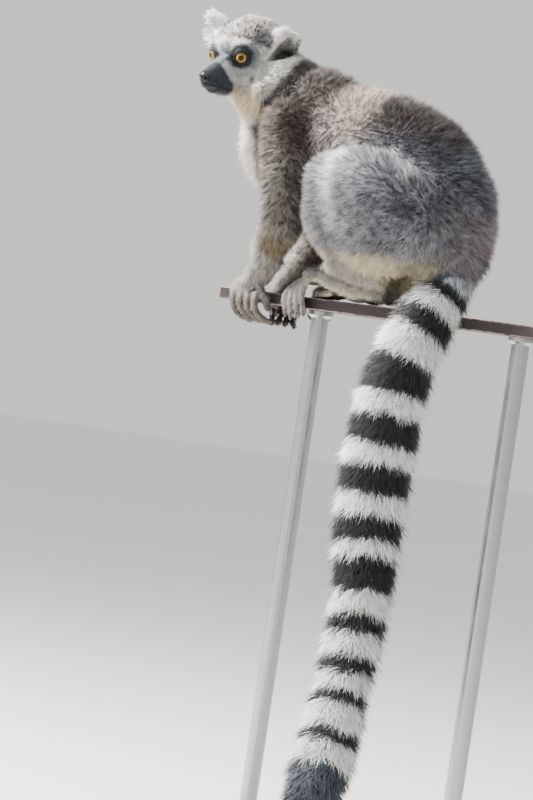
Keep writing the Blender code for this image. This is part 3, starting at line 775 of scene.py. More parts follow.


# the coat's markings, together with painted highlights and painted shade on the shoulders, thigh, hip and
# crown
def markingsAndPaintedLight(rows, normals, shares):
    head = (rows - eyesRow) @ turnRows
    f, l, u = head.T  # forward, left and up
    side = np.abs(l)
    foldedHead = np.column_stack((f, side, u))
    x, y, z = rows.T
    wide = np.abs(x)
    folded = np.column_stack((wide, y, z))
    part = dict(zip(boneNames, shares.T))
    colours = [np.tile(tone, (len(rows), 1)) for tone in hairs["back"]]
    fine, broad = waver(rows, 9, 5), waver(rows, 34, 6)

    def lay(name, mask):
        layOver(colours, name, mask)

    # trunk
    lay("humpSide", 1.1 * near(rows * (0, 1, 1), (0, -64, 768), (1, 38, 26)))
    # painted highlight on top of the shoulders, over their warm tan fur
    lay("humpTanAndHighlight", 1.25 * near(rows * (0, 1, 1), (0, -54, 802), (1, 22, 30)))
    lay("shoulder", easedStep(-y + 4 * fine, 88, 112) * easedStep(-z, -806 - 4 * fine, -790)
        * easedStep(z, 728, 754))
    # painted shadow behind the shoulders, over the grey-brown fur of the back
    lay("saddleFurAndShadow", easedStep(y + 2 * fine, -32, -20) * easedStep(z + 0.25 * y, 756, 774))
    lay("rump", easedStep(768 - 0.12 * y - z + 5 * broad, -10, 10) * easedStep(y, -34, -12))
    thighShare = part["thigh_left"] + part["thigh_right"]
    lay("thigh", easedStep(thighShare, 0.25, 0.6) * easedStep(wide, 12, 26))
    # painted highlights on the crests of the thigh and hip
    paintedHighlight = sum(strength * near(folded, place, size) for strength, place, size in thighHighlights)
    lay("thighPaintedHighlight", 0.9 * easedStep(paintedHighlight + 0.12 * fine, 0.25, 0.85))
    # painted shade down the front edge of the thigh, on the side turned from the light
    lay("thighEdgeShade", 0.8 * thighShare * easedStep(-y + 3 * fine, 46, 72) * easedStep(-z, -748, -734))
    # painted shade in the hollow of the hip
    lay("hipHollowShade", 0.9 * easedStep(near(folded, (74, 38, 694), (18, 16, 9)) + 0.1 * fine, 0.3, 0.8))
    lay("rosy", 0.8 * easedStep(y, 60, 86) * easedStep(-z, -716, -684))
    lay("cream", easedStep(-z - 2.5 * fine, -654, -643) * easedStep(y, -100, -70) * (z > 600)
        * (1 - easedStep(y, 30, 52)) * (part["tail"] < 0.5))
    lay("cream", part["belly"] * easedStep(-normals[:, 2], 0.1, 0.5))
    lay("dark", 0.9 * near(rows, (-14, 84, 656), (12, 14, 14)))
    lay("pink", 0.6 * near(rows, (-8, 88, 668), (7, 9, 7)))
    # neck and chest
    lay("nape", part["neck"])
    lay("neckSide", part["neck"] * easedStep(-y - 0.25 * (z - 800), 137, 147))
    trunkFront = easedStep(-y - 0.35 * (wide - 26) * (wide > 26) + 1.5 * fine, 164, 171)
    trunkFront *= easedStep(z, 655, 680) * (1 - np.maximum(part["forearm_left"], part["forearm_right"]))
    lay("throat", part["throat"])
    lay("throat", trunkFront * easedStep(-z, -812, -800))
    lay("chestWhite", trunkFront * easedStep(-z + 0.5 * (20 - x) + 3 * fine, -784, -768))
    # arms, hands and feet
    for which in sides:
        lay("forearm", part["forearm_" + which])
        lay("hand", part["hand_" + which])
        lay("foot", np.maximum(part["foot_" + which], 0.8 * part["shin_" + which]))
    lay("tan", 0.9 * easedStep(near(folded, (42, -122, 648), (22, 18, 17)) + 0.1 * fine, 0.25, 0.7))
    footShare = part["foot_left"] + part["foot_right"]
    lay("finger", (part["hand_left"] + part["hand_right"]) * easedStep(-z, -596, -588))
    lay("sole", footShare * easedStep(-normals[:, 2], 0.1, 0.6) * (y > -88))
    lay("heel", footShare * near(folded, (20, -14, 616), (30, 16, 14)))
    # head
    onHead = easedStep(sum(part[name] for name in headBones + earBones), 0.35, 0.65)
    lay("cheek", onHead)
    lay("brow", onHead * near(head, (-2, 0, 12), (14, 22, 9)))
    crownEdge = 17.5 - 0.36 * np.maximum(side - 12, 0) - 0.5 * np.maximum(-20 - f, 0) * (side > 16)
    aboveEdge = u - crownEdge - 0.8 * fine
    crown = onHead * easedStep(aboveEdge, -2.5, 2.5)
    lay("crown", crown)
    lay("crownRim", 0.55 * crown * (1 - easedStep(aboveEdge + 2 * fine, 3, 10)))
    temple = near(foldedHead, (-29, 21, 14), (13, 12, 13))
    lay("crownRim", onHead * easedStep(temple + 0.06 * fine, 0.3, 0.75))
    # painted highlight on the top of the crown
    lay("crownTopHighlight", crown * easedStep(u - 0.3 * f + 2 * fine, 45, 54))
    lay("earWhite", onHead * easedStep(near(head, (-48, 35, 19), (15, 14, 11)) + 0.05 * fine, 0.25, 0.6))
    ring = np.full(len(rows), 9.0)
    for turn in sides.values():  # how far out from the eye's middle, seen from in front of it
        centre, noseward, up, look = eyeFrame(turn)
        offset = head - centre
        inward, above = offset @ noseward, offset @ up
        across = np.where(inward > 0, inward / 13.2, -inward / 12.2)
        rise = above + 0.12 * inward
        reach = np.hypot(across, np.where(rise > 0, rise / 12.2, -rise / 11.8)) + 0.03 * fine
        ring = np.where((offset @ look > -16) & (l * turn > -2), np.minimum(ring, reach), ring)
    faded = (1 - easedStep(ring, 1.0, 2.1)) * easedStep(-f + 0.4 * np.abs(u), -2, 10) * (side > 6)
    lay("patchFade", onHead * 0.85 * faded * easedStep(-u, -16, -11))
    lay("whiskerBed", onHead * easedStep(f, -8, 2) * easedStep(-u, 2, 8) * easedStep(side, 4, 7))
    lay("bridge", onHead * easedStep(f, -6, 2) * (1 - easedStep(side, 5, 8)) * easedStep(u, -14, -8))
    lay("patch", onHead * (1 - easedStep(ring, 0.8, 1.2)) * easedStep(side, 3.6, 5.6))
    lay("patchRim", onHead * (1 - easedStep(ring, 0.5, 0.84)) * easedStep(side, 5, 8))
    gap, _, _ = lineDistance(foldedHead, [(4, 6, 0), (9, 4.6, -3), (18, 4.2, -6)])
    lay("bridgeLine", onHead * 0.9 * np.exp(-(gap / 1.9) ** 2))
    onSnout = (side < 22) & (u < 12) & (u > -44) & (f > -8)
    lay("muzzle", onSnout * easedStep(f - np.interp(u, *muzzleEdge) + 0.5 * fine, -1.0, 1.0))
    for strength, place, size in spots:
        lay("spot", strength * onHead * near(foldedHead, place, size))
    # stripes that run down the side of the neck, softer on the right
    offEars = 1 - easedStep(part["ear_left"] + part["ear_right"], 0.2, 0.5)
    for name, (trail, half, strength) in stripes.items():
        strength = offEars * strength * (0.45 + 0.55 * easedStep(z, 735, 772))
        streaks = 0.86 + 0.14 * waver(rows, 5, 9)
        gap, _, _ = lineDistance(rows, trail)
        lay(name, strength * streaks * (1 - easedStep(gap + 1.5 * fine, half * 0.7, half * 1.25)))
        gap, _, _ = lineDistance(rows * (-1, 1, 1), trail)
        lay(name, 0.6 * strength * (1 - easedStep(gap + 1.2 * fine, half * 0.5, half)))
    # tail
    tailShare = easedStep(part["tail"], 0.4, 0.6)
    _, _, along = lineDistance(rows, tailLine)
    along = along + 1.5 * fine + 1.2 * waver(rows, 5, 8)
    lay("tailRoot", tailShare)
    lay("tailWhite", tailShare * easedStep(along, 48, 62))
    for start, end in tail["bands"]:
        band = easedStep(along, start - 1.5, start + 1.5) * (1 - easedStep(along, end - 1.5, end + 1.5))
        lay("tailTip" if start > 530 else "tailBlack", tailShare * band)
    lay("tailBlack", tailShare * easedStep(along, 572, 600))
    return colours


def onEar(which, rows, normals, shares):  # the ear's share, its open side, and the way across and up its leaf
    root, size, up, across, openSide = earFrame(which)
    offset = rows - np.array(root)
    share = easedStep(shareOf(shares, "ear_" + which), 0.3, 0.6)
    inner = easedStep(normals @ np.array(openSide), 0.05, 0.35)
    return share, inner, offset @ np.array(across) / ears[which]["halfWidth"], offset @ np.array(up) / size


def downEar(a, b):  # how far down and forward from the ear's opening, which is painted as shadow, in half widths of the ear
    return a + 0.44 - 0.9 * (b - 0.37)


def inHole(a, b, length, width):  # 1 in the opening low in the cup of the ear, which is painted dark as its shadow
    aside = b - 0.37 + 0.35 * (a + 0.44)
    return np.exp(-(downEar(a, b) / length) ** 2 - (aside / width) ** 2)


def earMarksAndShadow(rows, normals, colours, shares):
    for which in sides:
        grey = ears[which]["grey"]
        share, inner, a, b = onEar(which, rows, normals, shares)
        rim = np.clip(easedStep(np.abs(a), 0.62, 0.85) + easedStep(b, 0.78, 0.95), 0, 1)
        rim = np.clip(rim + easedStep(a, 0.3, 0.5), 0, 1)
        layOver(colours, "earWhite", share)
        layOver(colours, "earGrey", grey * share * inner * (1 - rim))
        # painted shadow in the opening low in the cup, half as strong on the right ear
        layOver(colours, "earHoleShadow", 1.8 * share * inner * inHole(a, b, 0.8, 0.26) * min(1, 2 * grey))


def setNode(tree, node, settings, **links):
    for key, value in settings.items():
        if key == "stops":  # places and colours along a ramp
            ramp = node.color_ramp.elements
            while len(ramp) < len(value):
                ramp.new(0.5)
            for stop, (position, code) in zip(ramp, value):
                stop.position = position
                stop.color = hexColour(code)
        elif key == "range":  # two values, and what they are turned to
            for socket, number in zip(node.inputs[1:5], value):
                socket.default_value = number
        elif isinstance(key, str) and hasattr(node, key):
            setattr(node, key, value)
        else:
            node.inputs[key].default_value = value
    for socket, source in links.items():  # a socket by its name, or n and its number
        name = socket.replace("_", " ")
        socket = node.inputs[int(name[1:]) if name[0] == "n" and name[1:].isdigit() else name]
        tree.links.new(getattr(source, "outputs", [source])[0], socket)
    return node


def addNode(tree, kind, settings=None, **links):
    return setNode(tree, tree.nodes.new("ShaderNode" + kind), settings or {}, **links)


def newMaterial(name):  # with its surface, and the place on the object in metres that its patterns start from
    material = bpy.data.materials.new(name)
    material.use_nodes = True
    tree = material.node_tree
    tree.nodes.clear()
    surface = addNode(tree, "BsdfPrincipled")
    addNode(tree, "OutputMaterial", Surface=surface)
    return material, tree, surface, addNode(tree, "TexCoord").outputs["Object"]


def hexColour(code):
    return (*shade(code), 1)


def perMetre(size):  # how often a pattern comes in a metre when it repeats every so many mm
    return 1000 / size


def furMaterial():  # soft hairs: each tuft's own colour, broken up, with a faint sheen at grazing angles
    material, tree, surface, place = newMaterial("fur_soft_ticked_hairs")
    colour = addNode(tree, "Attribute", {"attribute_name": "hairColour"})
    # real hairs are 0.05 mm thick, too fine to show, so the breaks between them are 1.11 mm apart
    fine = addNode(tree, "TexNoise", {"Scale": perMetre(1.11), "Detail": 2}, Vector=place)
    tone = addNode(tree, "MapRange", {"range": (0.3, 0.7, 0.74, 1.2)}, Value=fine)
    broken = addNode(tree, "VectorMath", {"operation": "MULTIPLY"}, n0=colour, n1=tone)
    setNode(tree, surface, {"Roughness": 0.62, "Specular IOR Level": 0.28, "Sheen Weight": 0.14,
                            "Sheen Roughness": 0.45}, Base_Color=broken)
    return material


def skinMaterial():  # leathery skin, dull under the hair, with creases and a soft gloss where it is bare
    material, tree, surface, place = newMaterial("skin_leathery_creased")
    colour = addNode(tree, "Attribute", {"attribute_name": "hairColour"})
    bare = addNode(tree, "Attribute", {"attribute_name": "bareSkin"})
    mottle = addNode(tree, "TexNoise", {"Scale": perMetre(3.85), "Detail": 4}, Vector=place)
    tone = addNode(tree, "MapRange", {"range": (0.3, 0.7, 0.7, 1.25)}, Value=mottle)
    broken = addNode(tree, "VectorMath", {"operation": "MULTIPLY"}, n0=colour, n1=tone)
    # the grain of the skin is about 0.67 mm across, and its creases are about 1.4 mm apart
    grain = addNode(tree, "TexVoronoi", {"feature": "DISTANCE_TO_EDGE", "Scale": perMetre(0.667)},
                    Vector=place)
    creases = addNode(tree, "TexNoise", {"Scale": perMetre(1.43), "Detail": 3}, Vector=place)
    relief = addNode(tree, "Math", {"operation": "MULTIPLY"}, n0=grain, n1=creases)
    bump = addNode(tree, "Bump", {"Strength": 0.35, "Distance": 0.0006}, Height=relief)
    gloss = addNode(tree, "MapRange", {"range": (0, 1, 0.75, 0.36)}, Value=bare.outputs["Fac"])
    setNode(tree, surface, {"Specular IOR Level": 0.3}, Base_Color=broken, Roughness=gloss, Normal=bump)
    return material


coat = {
    "patch": 0.003,  # the size of a tuft on the coat's map
    "perLock": 5,  # tufts that gather into one lock
    "lengthVaries": 0.14, "widthVaries": 0.15,  # as shares of a tuft's own
    "liftVaries": 6, "lockLiftVaries": 4,  # degrees
    "bend": 0.45,  # how far up a tuft it bends
    "steeperBelow": 13, "flatterAbove": 9,  # degrees
    # each piece: its bones, whether its tufts are bent, how far they gather and stray, and how many
    "pieces": {
        "coat_head": (headBones, False, 0.1, 0.55, 49000),
        "coat_ears": (earBones, True, 0.2, 0.3, 8000),
        "coat_neck": (("neck", "throat", "chest"), False, 0.2, 0.8, 46000),
        "coat_back": (("back", "belly"), False, 0.2, 0.85, 49000),
        "coat_arms": (armBones, False, 0.2, 0.6, 44000),
        "coat_thigh_left": (("thigh_left", "shin_left"), False, 0.2, 0.85, 46000),
        "coat_thigh_right": (("thigh_right", "shin_right"), False, 0.2, 0.85, 40000),
        "coat_grip": (gripBones, False, 0.15, 0.25, 14000),
        "coat_tail_upper": (("tail",), True, 0.32, 0.5, 28000),
        "coat_tail_lower": (("tail",), True, 0.32, 0.5, 28000),
    },
    "tailSplit": 420,  # the height between the two pieces of the tail
    # where a lock turns from dark to pale, as its tone goes from 0 to 1
    "plainTones": (0.12, 0.92), "pepperedTones": (0.36, 0.62), "tickedTones": (0.15, 0.85),
    "ticking": 0.7,  # how far the back and limbs are ticked
    "rootShade": 0.6,  # a tuft's tone at its root, as a share of its tip's
    "mapFaces": 2600,  # faces of the coarser skin that a piece's map is made from
}
skinRows = bodyPlaces(read(skin.data.vertices, "co"))
skinNormals = read(skin.data.vertex_normals, "vector")
skin.data.calc_loop_triangles()
corners = read(skin.data.loop_triangles, "vertices", 3, int)
vertShares, vertLie, vertLength, vertWidth, vertLift = coatPlan(skinRows, skinNormals)
report("lie of the coat set")


def bareSkin(rows, normals, shares):  # 1 where no tuft grows: nose, lids, palms and soles
    head = (rows - eyesRow) @ turnRows
    bare = easedStep(head[:, 0], 34.5, 38) * (head[:, 2] > -21.5)
    for side in sides.values():
        centre, noseward, up, look = eyeFrame(side)
        offset = head - centre
        high, inward = offset @ up, offset @ noseward
        onLids = np.hypot(high, inward) < lidOpening(np.arctan2(high, inward)) + 1.3
        bare = np.maximum(bare, onLids * (offset @ look > 0))
    for which in sides:  # the cup of the ear is nearly bare
        share, inner, a, b = onEar(which, rows, normals, shares)
        cup = share * inner * (1 - easedStep(np.abs(a), 0.66, 0.9))
        bare = np.maximum(bare, cup * (1 - 0.35 * easedStep(b, 0.45, 0.8)) * (1 - easedStep(b, 0.8, 0.95)))
    inward = np.maximum(easedStep(-normals[:, 0] * np.sign(rows[:, 0]), 0.25, 0.6) * (rows[:, 2] < 600),
                        easedStep(-normals[:, 2], 0.5, 0.8) * (rows[:, 2] > 596))
    return np.clip(np.maximum(bare, easedStep(shareOf(shares, *gripBones), 0.5, 0.8) * inward), 0, 1)


fleshColours = {"face": "#121318", "paws": "#2b2827", "eyeCorner": "#7a3a3c"}


def paintSkin():
    colours = markingsAndPaintedLight(skinRows, skinNormals, vertShares)
    earMarksAndShadow(skinRows, skinNormals, colours, vertShares)
    colour = (colours[0] * 0.6 + colours[1] * 0.4) * 0.8  # in the shade under the hair
    bare = bareSkin(skinRows, skinNormals, vertShares) * (shareOf(vertShares, *earBones) <= 0.4)
    head = (skinRows - eyesRow) @ turnRows
    f, l, u = head.T
    onFace = (f > -24) & (np.abs(l) < 34) & (u > -38) & (u < 24)
    bareTone = np.where(onFace[:, None], shade(fleshColours["face"]), shade(fleshColours["paws"]))
    colour = colour * (1 - bare[:, None]) + bareTone * bare[:, None]
    for side in sides.values():  # the pink inner corner of the eye
        centre, noseward, _, look = eyeFrame(side)
        tint = (0.8 * near(head, centre + noseward * 7.6 + look * 4.6, (1.3, 1.3, 1.3)))[:, None]
        colour = colour * (1 - tint) + shade(fleshColours["eyeCorner"]) * tint
    layer = skin.data.color_attributes.new("hairColour", "FLOAT_COLOR", "POINT")
    layer.data.foreach_set("color", np.column_stack((colour, np.ones(len(colour)))).ravel())
    facts = skin.data.attributes.new("bareSkin", "FLOAT", "POINT")
    facts.data.foreach_set("value", bare)


def scattered(chosen, count):  # roots spread over the chosen triangles, more where tufts are short and thin
    a, b, c = (skinRows[corners[chosen, k]] for k in range(3))
    area = np.linalg.norm(np.cross(b - a, c - a), axis=1) / 2
    size = (vertLength * vertWidth)[corners[chosen]].mean(1)
    weight = np.cumsum(area / size ** 0.75)
    pick = np.searchsorted(weight, chance.random(count) * weight[-1])
    r1, r2 = np.sqrt(chance.random(count)), chance.random(count)
    return chosen[pick], np.column_stack((1 - r1, r1 * (1 - r2), r1 * r2))


def spread(values, triangles, shares):  # values at the skin's points, brought to the roots
    taken = values[corners[triangles]]
    return (taken * shares[:, :, None]).sum(1) if values.ndim == 2 else (taken * shares).sum(1)


def coatMap(chosen):  # an unwrap of the skin under one piece of coat, on a coarser copy of it
    used, faces = np.unique(corners[chosen], return_inverse=True)
    mesh = bpy.data.meshes.new("map")
    mesh.from_pydata(skinRows[used].tolist(), [], faces.reshape(-1, 3).tolist())
    shape = placed("guide", mesh)
    addModifier(shape, "DECIMATE", ratio=min(1, coat["mapFaces"] / len(chosen)))
    mesh = finished(shape)
    shape = placed("guide", mesh)
    bpy.ops.object.select_all(action="DESELECT")
    shape.select_set(True)
    bpy.context.view_layer.objects.active = shape
    bpy.ops.object.mode_set(mode="EDIT")
    bpy.ops.mesh.select_all(action="SELECT")
    bpy.ops.uv.smart_project(angle_limit=radians(72), island_margin=0.006, area_weight=0.5)
    bpy.ops.object.mode_set(mode="OBJECT")
    mesh.calc_loop_triangles()
    loops = read(mesh.loop_triangles, "loops", 3, int)
    verts = read(mesh.loop_triangles, "vertices", 3, int)
    places = read(mesh.uv_layers[0].data, "uv", 2)[loops]
    rows = read(mesh.vertices, "co")
    bpy.data.objects.remove(shape)
    return rows, verts, places


def onMap(roots, surface):  # where each root lies on the map
    rows, verts, places = surface
    tree = BVHTree.FromPolygons(rows.tolist(), verts.tolist())
    found = [tree.find_nearest(root) for root in roots.tolist()]
    spots = np.array([hit[0] for hit in found])
    faces = np.array([hit[2] for hit in found])
    a, b, c = (rows[verts[faces, k]] for k in range(3))
    whole = np.cross(b - a, c - a)
    size = np.maximum((whole ** 2).sum(1), 1e-12)
    wb = (np.cross(spots - a, c - a) * whole).sum(1) / size
    wc = (np.cross(b - a, spots - a) * whole).sum(1) / size
    weights = np.clip(np.column_stack((1 - wb - wc, wb, wc)), 0, 1)
    weights /= weights.sum(1, keepdims=True)
    return (places[faces] * weights[:, :, None]).sum(1)


def gathered(roots):  # the middle of the lock that each root belongs to, and a number for that lock
    count = max(8, int(len(roots) / coat["perLock"]))
    seeds = roots[chance.choice(len(roots), count, replace=False)]
    tree = KDTree(count)
    for k, seed in enumerate(seeds.tolist()):
        tree.insert(seed, k)
    tree.balance()
    lock = np.array([tree.find(root)[1] for root in roots.tolist()])
    return seeds[lock], lock, count


def grown(chosen, count, pull, loose):  # rows of facts about the tufts of one piece
    triangles, weights = scattered(chosen, count)
    roots = spread(skinRows, triangles, weights)
    normals = unit(spread(skinNormals, triangles, weights))
    shares = spread(vertShares, triangles, weights)
    keep = chance.random(len(roots)) > bareSkin(roots, normals, shares)
    triangles, weights, roots, normals, shares = (
        rows[keep] for rows in (triangles, weights, roots, normals, shares))
    count = len(roots)
    lie = unit(spread(vertLie, triangles, weights))
    length, width, lift = (spread(values, triangles, weights) for values in (vertLength, vertWidth, vertLift))
    # a marking lies halfway up its tufts, but the tail's rings lie at their roots
    offTail = 1 - easedStep(shareOf(shares, "tail"), 0.4, 0.6)
    seen = roots + lie * (0.5 * length * np.cos(np.radians(lift)) * offTail)[:, None]
    colours = markingsAndPaintedLight(seen, normals, shares)
    earMarksAndShadow(roots, normals, colours, shares)
    length, lift = trimmed(roots, normals, shares, length, lift)
    middles, lock, lockCount = gathered(roots)
    lockTone, lockTurn = chance.random(lockCount)[lock], chance.normal(0, 1, lockCount)[lock]
    length = length * np.clip(chance.normal(1, coat["lengthVaries"], count) + 0.06 * lockTurn, 0.55, 1.4)
    side = unit(np.cross(lie, normals))
    sway = loose * (0.6 * lockTurn + chance.normal(0, 0.7, count))
    way = unit(lie + side * sway[:, None])
    lift = lift + coat["liftVaries"] * chance.normal(0, 1, count) + coat["lockLiftVaries"] * lockTurn
    steep = np.clip(np.radians(lift) + radians(coat["steeperBelow"]), 0.08, 1.4)[:, None]
    flat = np.clip(np.radians(lift) - radians(coat["flatterAbove"]), 0.02, 1.3)[:, None]
    mid = roots + (way * np.cos(steep) + normals * np.sin(steep)) * (coat["bend"] * length)[:, None]
    tip = mid + (way * np.cos(flat) + normals * np.sin(flat)) * ((1 - coat["bend"]) * length)[:, None]
    toward = middles - roots
    toward -= (toward * way).sum(1, keepdims=True) * way * 0.7
    tip += pull * toward
    mid += 0.4 * pull * toward
    across = unit(np.cross(tip - roots, normals))
    up = unit(np.cross(across, tip - roots))
    up *= np.sign((up * normals).sum(1, keepdims=True))
    half = (0.5 * width * np.clip(chance.normal(1, coat["widthVaries"], count), 0.6, 1.4))[:, None]
    return (roots, normals, shares), (colours, lockTone), (mid, tip, across * half, up * half, across)


# a tuft's faces, the places of its points on its patch of the map, and how much of the tip's tone each takes
tuftPlans = {
    True: ([(0, 1, 3), (0, 3, 2), (0, 2, 1), (4, 3, 1), (4, 2, 3), (4, 1, 2)],
           [(0, -0.5), (0.5, 0), (-0.5, 0), (0.02, 0.14), (0, 0.5)], [0.0, 0.5, 0.5, 0.55, 1.0]),
    False: ([(0, 3, 2), (2, 3, 1), (1, 3, 0), (0, 2, 1)],
            [(0.5, -0.4), (-0.5, -0.4), (0.03, -0.15), (0, 0.5)], [0.15, 0.15, 0.3, 1.0]),
}


def coatPiece(name, chosen, count, fur, bent, pull, loose):
    (roots, normals, shares), (colours, lockTone), form = grown(chosen, count, pull, loose)
    mid, tip, aside, rise, across = form
    count = len(roots)
    leanings = normals + across * 0.7, normals - across * 0.7, normals, normals
    if bent:  # a spindle that bends at its widest
        points = roots - normals * 0.8, mid + aside, mid - aside, mid + rise * 0.9, tip
        leanings = normals, *leanings
    else:
        base = roots - normals * 0.3
        points = base + aside, base - aside, base + rise * 1.2, tip
    faces, spots, shift = (np.array(plan) for plan in tuftPlans[bent])
    tone = easedStep(0.6 * lockTone + 0.45 * chance.random(count), *coat["plainTones"])
    # the crown is peppered with dark locks, and the back and limbs are ticked more softly
    peppered = shareOf(shares, "crown")
    ticked = coat["ticking"] * shareOf(shares, *tickedBones)
    tone = tone * (1 - peppered - ticked) + easedStep(lockTone, *coat["pepperedTones"]) * peppered
    tone = (tone + easedStep(lockTone, *coat["tickedTones"]) * ticked)[:, None]
    dark, pale = colours
    tipTone = dark * (1 - tone) + pale * tone
    rootTone = tipTone * coat["rootShade"] + dark * 0.12
    shift = shift[None, :, None]
    tints = (rootTone[:, None] * (1 - shift) + tipTone[:, None] * shift) * (1 + 0.10 * (shift - 0.5))
    places = onMap(roots, coatMap(chosen))
    piece = tuftMesh(name, np.stack(points, 1), faces, tints, np.stack(leanings, 1), places, spots)
    piece.data.materials.append(fur)
    report(f"{name}: {count} tufts, {count * len(faces)} triangles")
    return piece


def tuftMesh(name, points, faces, tints, leanings, places, spots):
    count, each = points.shape[:2]
    mesh = bpy.data.meshes.new(name)
    mesh.vertices.add(count * each)
    mesh.vertices.foreach_set("co", ((points.reshape(-1, 3) + railRow) * mm).ravel())
    index = (faces[None] + (np.arange(count) * each)[:, None, None]).ravel()
    mesh.loops.add(len(index))
    mesh.loops.foreach_set("vertex_index", index)
    mesh.polygons.add(len(index) // 3)
    mesh.polygons.foreach_set("loop_start", np.arange(0, len(index), 3))
    mesh.polygons.foreach_set("use_smooth", np.ones(len(index) // 3, bool))
    layer = mesh.color_attributes.new("hairColour", "FLOAT_COLOR", "POINT")
    layer.data.foreach_set("color", np.concatenate((tints, np.ones((count, each, 1))), 2).ravel())
    uvMap = mesh.uv_layers.new(name="OFBake")
    patches = places[:, None, :] + spots[None] * coat["patch"]
    uvMap.data.foreach_set("uv", np.clip(patches[:, faces.ravel()], 0.001, 0.999).ravel())
    mesh.update(calc_edges=True)
    mesh.normals_split_custom_set_from_vertices(unit(leanings.reshape(-1, 3)))
    return placed(name, mesh)


def trimmed(roots, normals, shares, length, lift):  # where the coat is longer, shorter or stands out more
    f, l, u = ((roots - eyesRow) @ turnRows).T
    part = dict(zip(boneNames, shares.T))
    # short round the eyes
    ring = np.hypot((f + 8) / 13, (u + 1.2) / 13.5)
    onHead = part["face"] + part["muzzle"] + part["bridge"] + part["crown"]
    length = length * (1 - 0.35 * onHead * (1 - easedStep(ring, 0.6, 1.1)) * (np.abs(l) > 5))
    for which in sides:
        # long at the edge of the ear and short in its cup
        share, inner, a, b = onEar(which, roots, normals, shares)
        rim = np.clip(easedStep(np.abs(a), 0.66, 0.9) + easedStep(b, 0.78, 0.95), 0, 1)
        length = length * (1 + share * (0.5 * rim - 0.4 * inner * (1 - rim)))
        lift = lift + share * (12 * rim + 8 * inner)
        length = length * (1 - 0.55 * share * easedStep(-a, 0.2, 0.6) * (1 - easedStep(b, 0.45, 0.7)))
        # short and flat on the cheek below the ear
        root, size, up, across, _ = earFrame(which)
        root, up, across = (np.array(row) for row in (root, up, across))
        close = np.exp(-(np.linalg.norm(roots - root - 0.35 * size * up, axis=1) / 24) ** 2)
        below = easedStep(-(roots - root) @ up - 0.2 * (roots - root) @ across, -16, -4)
        length = length * (1 - 0.75 * close * (1 - share) * below)
        lift = lift - 12 * close * (1 - share) * below
        length = length * (1 - 0.85 * share * inner * inHole(a, b, 1.0, 0.36))
    # a loose fringe down the front of the chest
    lift = lift + 12 * part["chest"] * easedStep(-normals[:, 1], 0.3, 0.7)
    # flatter hair on the tail, less so toward its end, as measured down from the right ear
    lift = lift - 12 * part["tail"] * (1 - easedStep(downEar(a, b), 20, 60))
    return length, lift


fur = furMaterial()
paintSkin()
skin.data.materials.append(skinMaterial())
owner = vertShares[corners].mean(1).argmax(1)
middleHeight = skinRows[corners].mean(1)[:, 2]
pieces = [skin]
for name, (members, bent, pull, loose, tufts) in coat["pieces"].items():
    chosen = np.flatnonzero(np.isin(owner, [boneNames.index(member) for member in members]))
    if name.startswith("coat_tail"):
        chosen = chosen[(middleHeight[chosen] > coat["tailSplit"]) == name.endswith("upper")]
    tufts = tufts
    pieces.append(coatPiece(name, chosen, tufts, fur, bent, pull, loose))


eye = {
    "iris": 5.5, "pupil": 2.0, "corneaRise": 1.15, "rings": 40, "steps": 48,
    "pupilColours": ("#150504", "#1b0705"), "inner": "#4a1f06", "amber": "#74490f", "gold": "#8a7020",
    "pale": "#b3a04a", "outer": "#84642a", "rim": "#160a03", "white": ("#0b0604", "#050303"),
}


def eyeMaterial():  # amber iris with fine rays under a wet clear front
    material, tree, surface, place = newMaterial("eye_wet_amber_iris")
    split = addNode(tree, "SeparateXYZ", Vector=place)
    x, y = split.outputs["X"], split.outputs["Y"]
    flat = addNode(tree, "CombineXYZ", X=x, Y=y)
    distance = addNode(tree, "VectorMath", {"operation": "LENGTH"}, n0=flat)
    turn = addNode(tree, "Math", {"operation": "ARCTAN2"}, n0=y, n1=x)
    around = addNode(tree, "CombineXYZ", X=turn)
    # 27 rays to a radian, which is one in every 0.2 mm at the edge of the iris
    rays = addNode(tree, "TexNoise", {"Scale": 27, "Detail": 4}, Vector=around)
    wobble = addNode(tree, "MapRange", {"range": (0, 1, -0.00035, 0.00035)}, Value=rays)
    reach = addNode(tree, "Math", {"operation": "ADD"}, n0=distance.outputs["Value"], n1=wobble)
    share = addNode(tree, "MapRange", {"range": (0, face["eyeRadius"] * mm, 0, 1)}, Value=reach)
    pupil = eye["pupil"] / face["eyeRadius"]
    middle, edge = eye["pupilColours"]
    ramp = addNode(tree, "ValToRGB", {"stops": (
        (0.0, middle), (pupil, edge), (pupil + 0.03, eye["inner"]), (0.33, eye["amber"]), (0.43, eye["gold"]),
        (0.53, eye["pale"]), (0.60, eye["outer"]), (0.645, eye["rim"]), (0.72, eye["white"][0]),
        (1.0, eye["white"][1]))}, n0=share)
    streak = addNode(tree, "MapRange", {"range": (0.3, 0.7, 0.72, 1.2)}, Value=rays)
    # painted shadow of the upper lid: the iris is darker toward it
    paintedLidShadow = addNode(tree, "MapRange", {"range": (0, 0.005, 0.84, 0.28)}, Value=y)
    depth = addNode(tree, "Math", {"operation": "MULTIPLY"}, n0=streak, n1=paintedLidShadow)
    colour = addNode(tree, "VectorMath", {"operation": "MULTIPLY"}, n0=ramp, n1=depth)
    setNode(tree, surface, {"Roughness": 0.25, "Specular IOR Level": 0.12, "Coat Weight": 0.3,
                            "Coat Roughness": 0.02, "Coat IOR": 1.38}, Base_Color=colour)
    return material


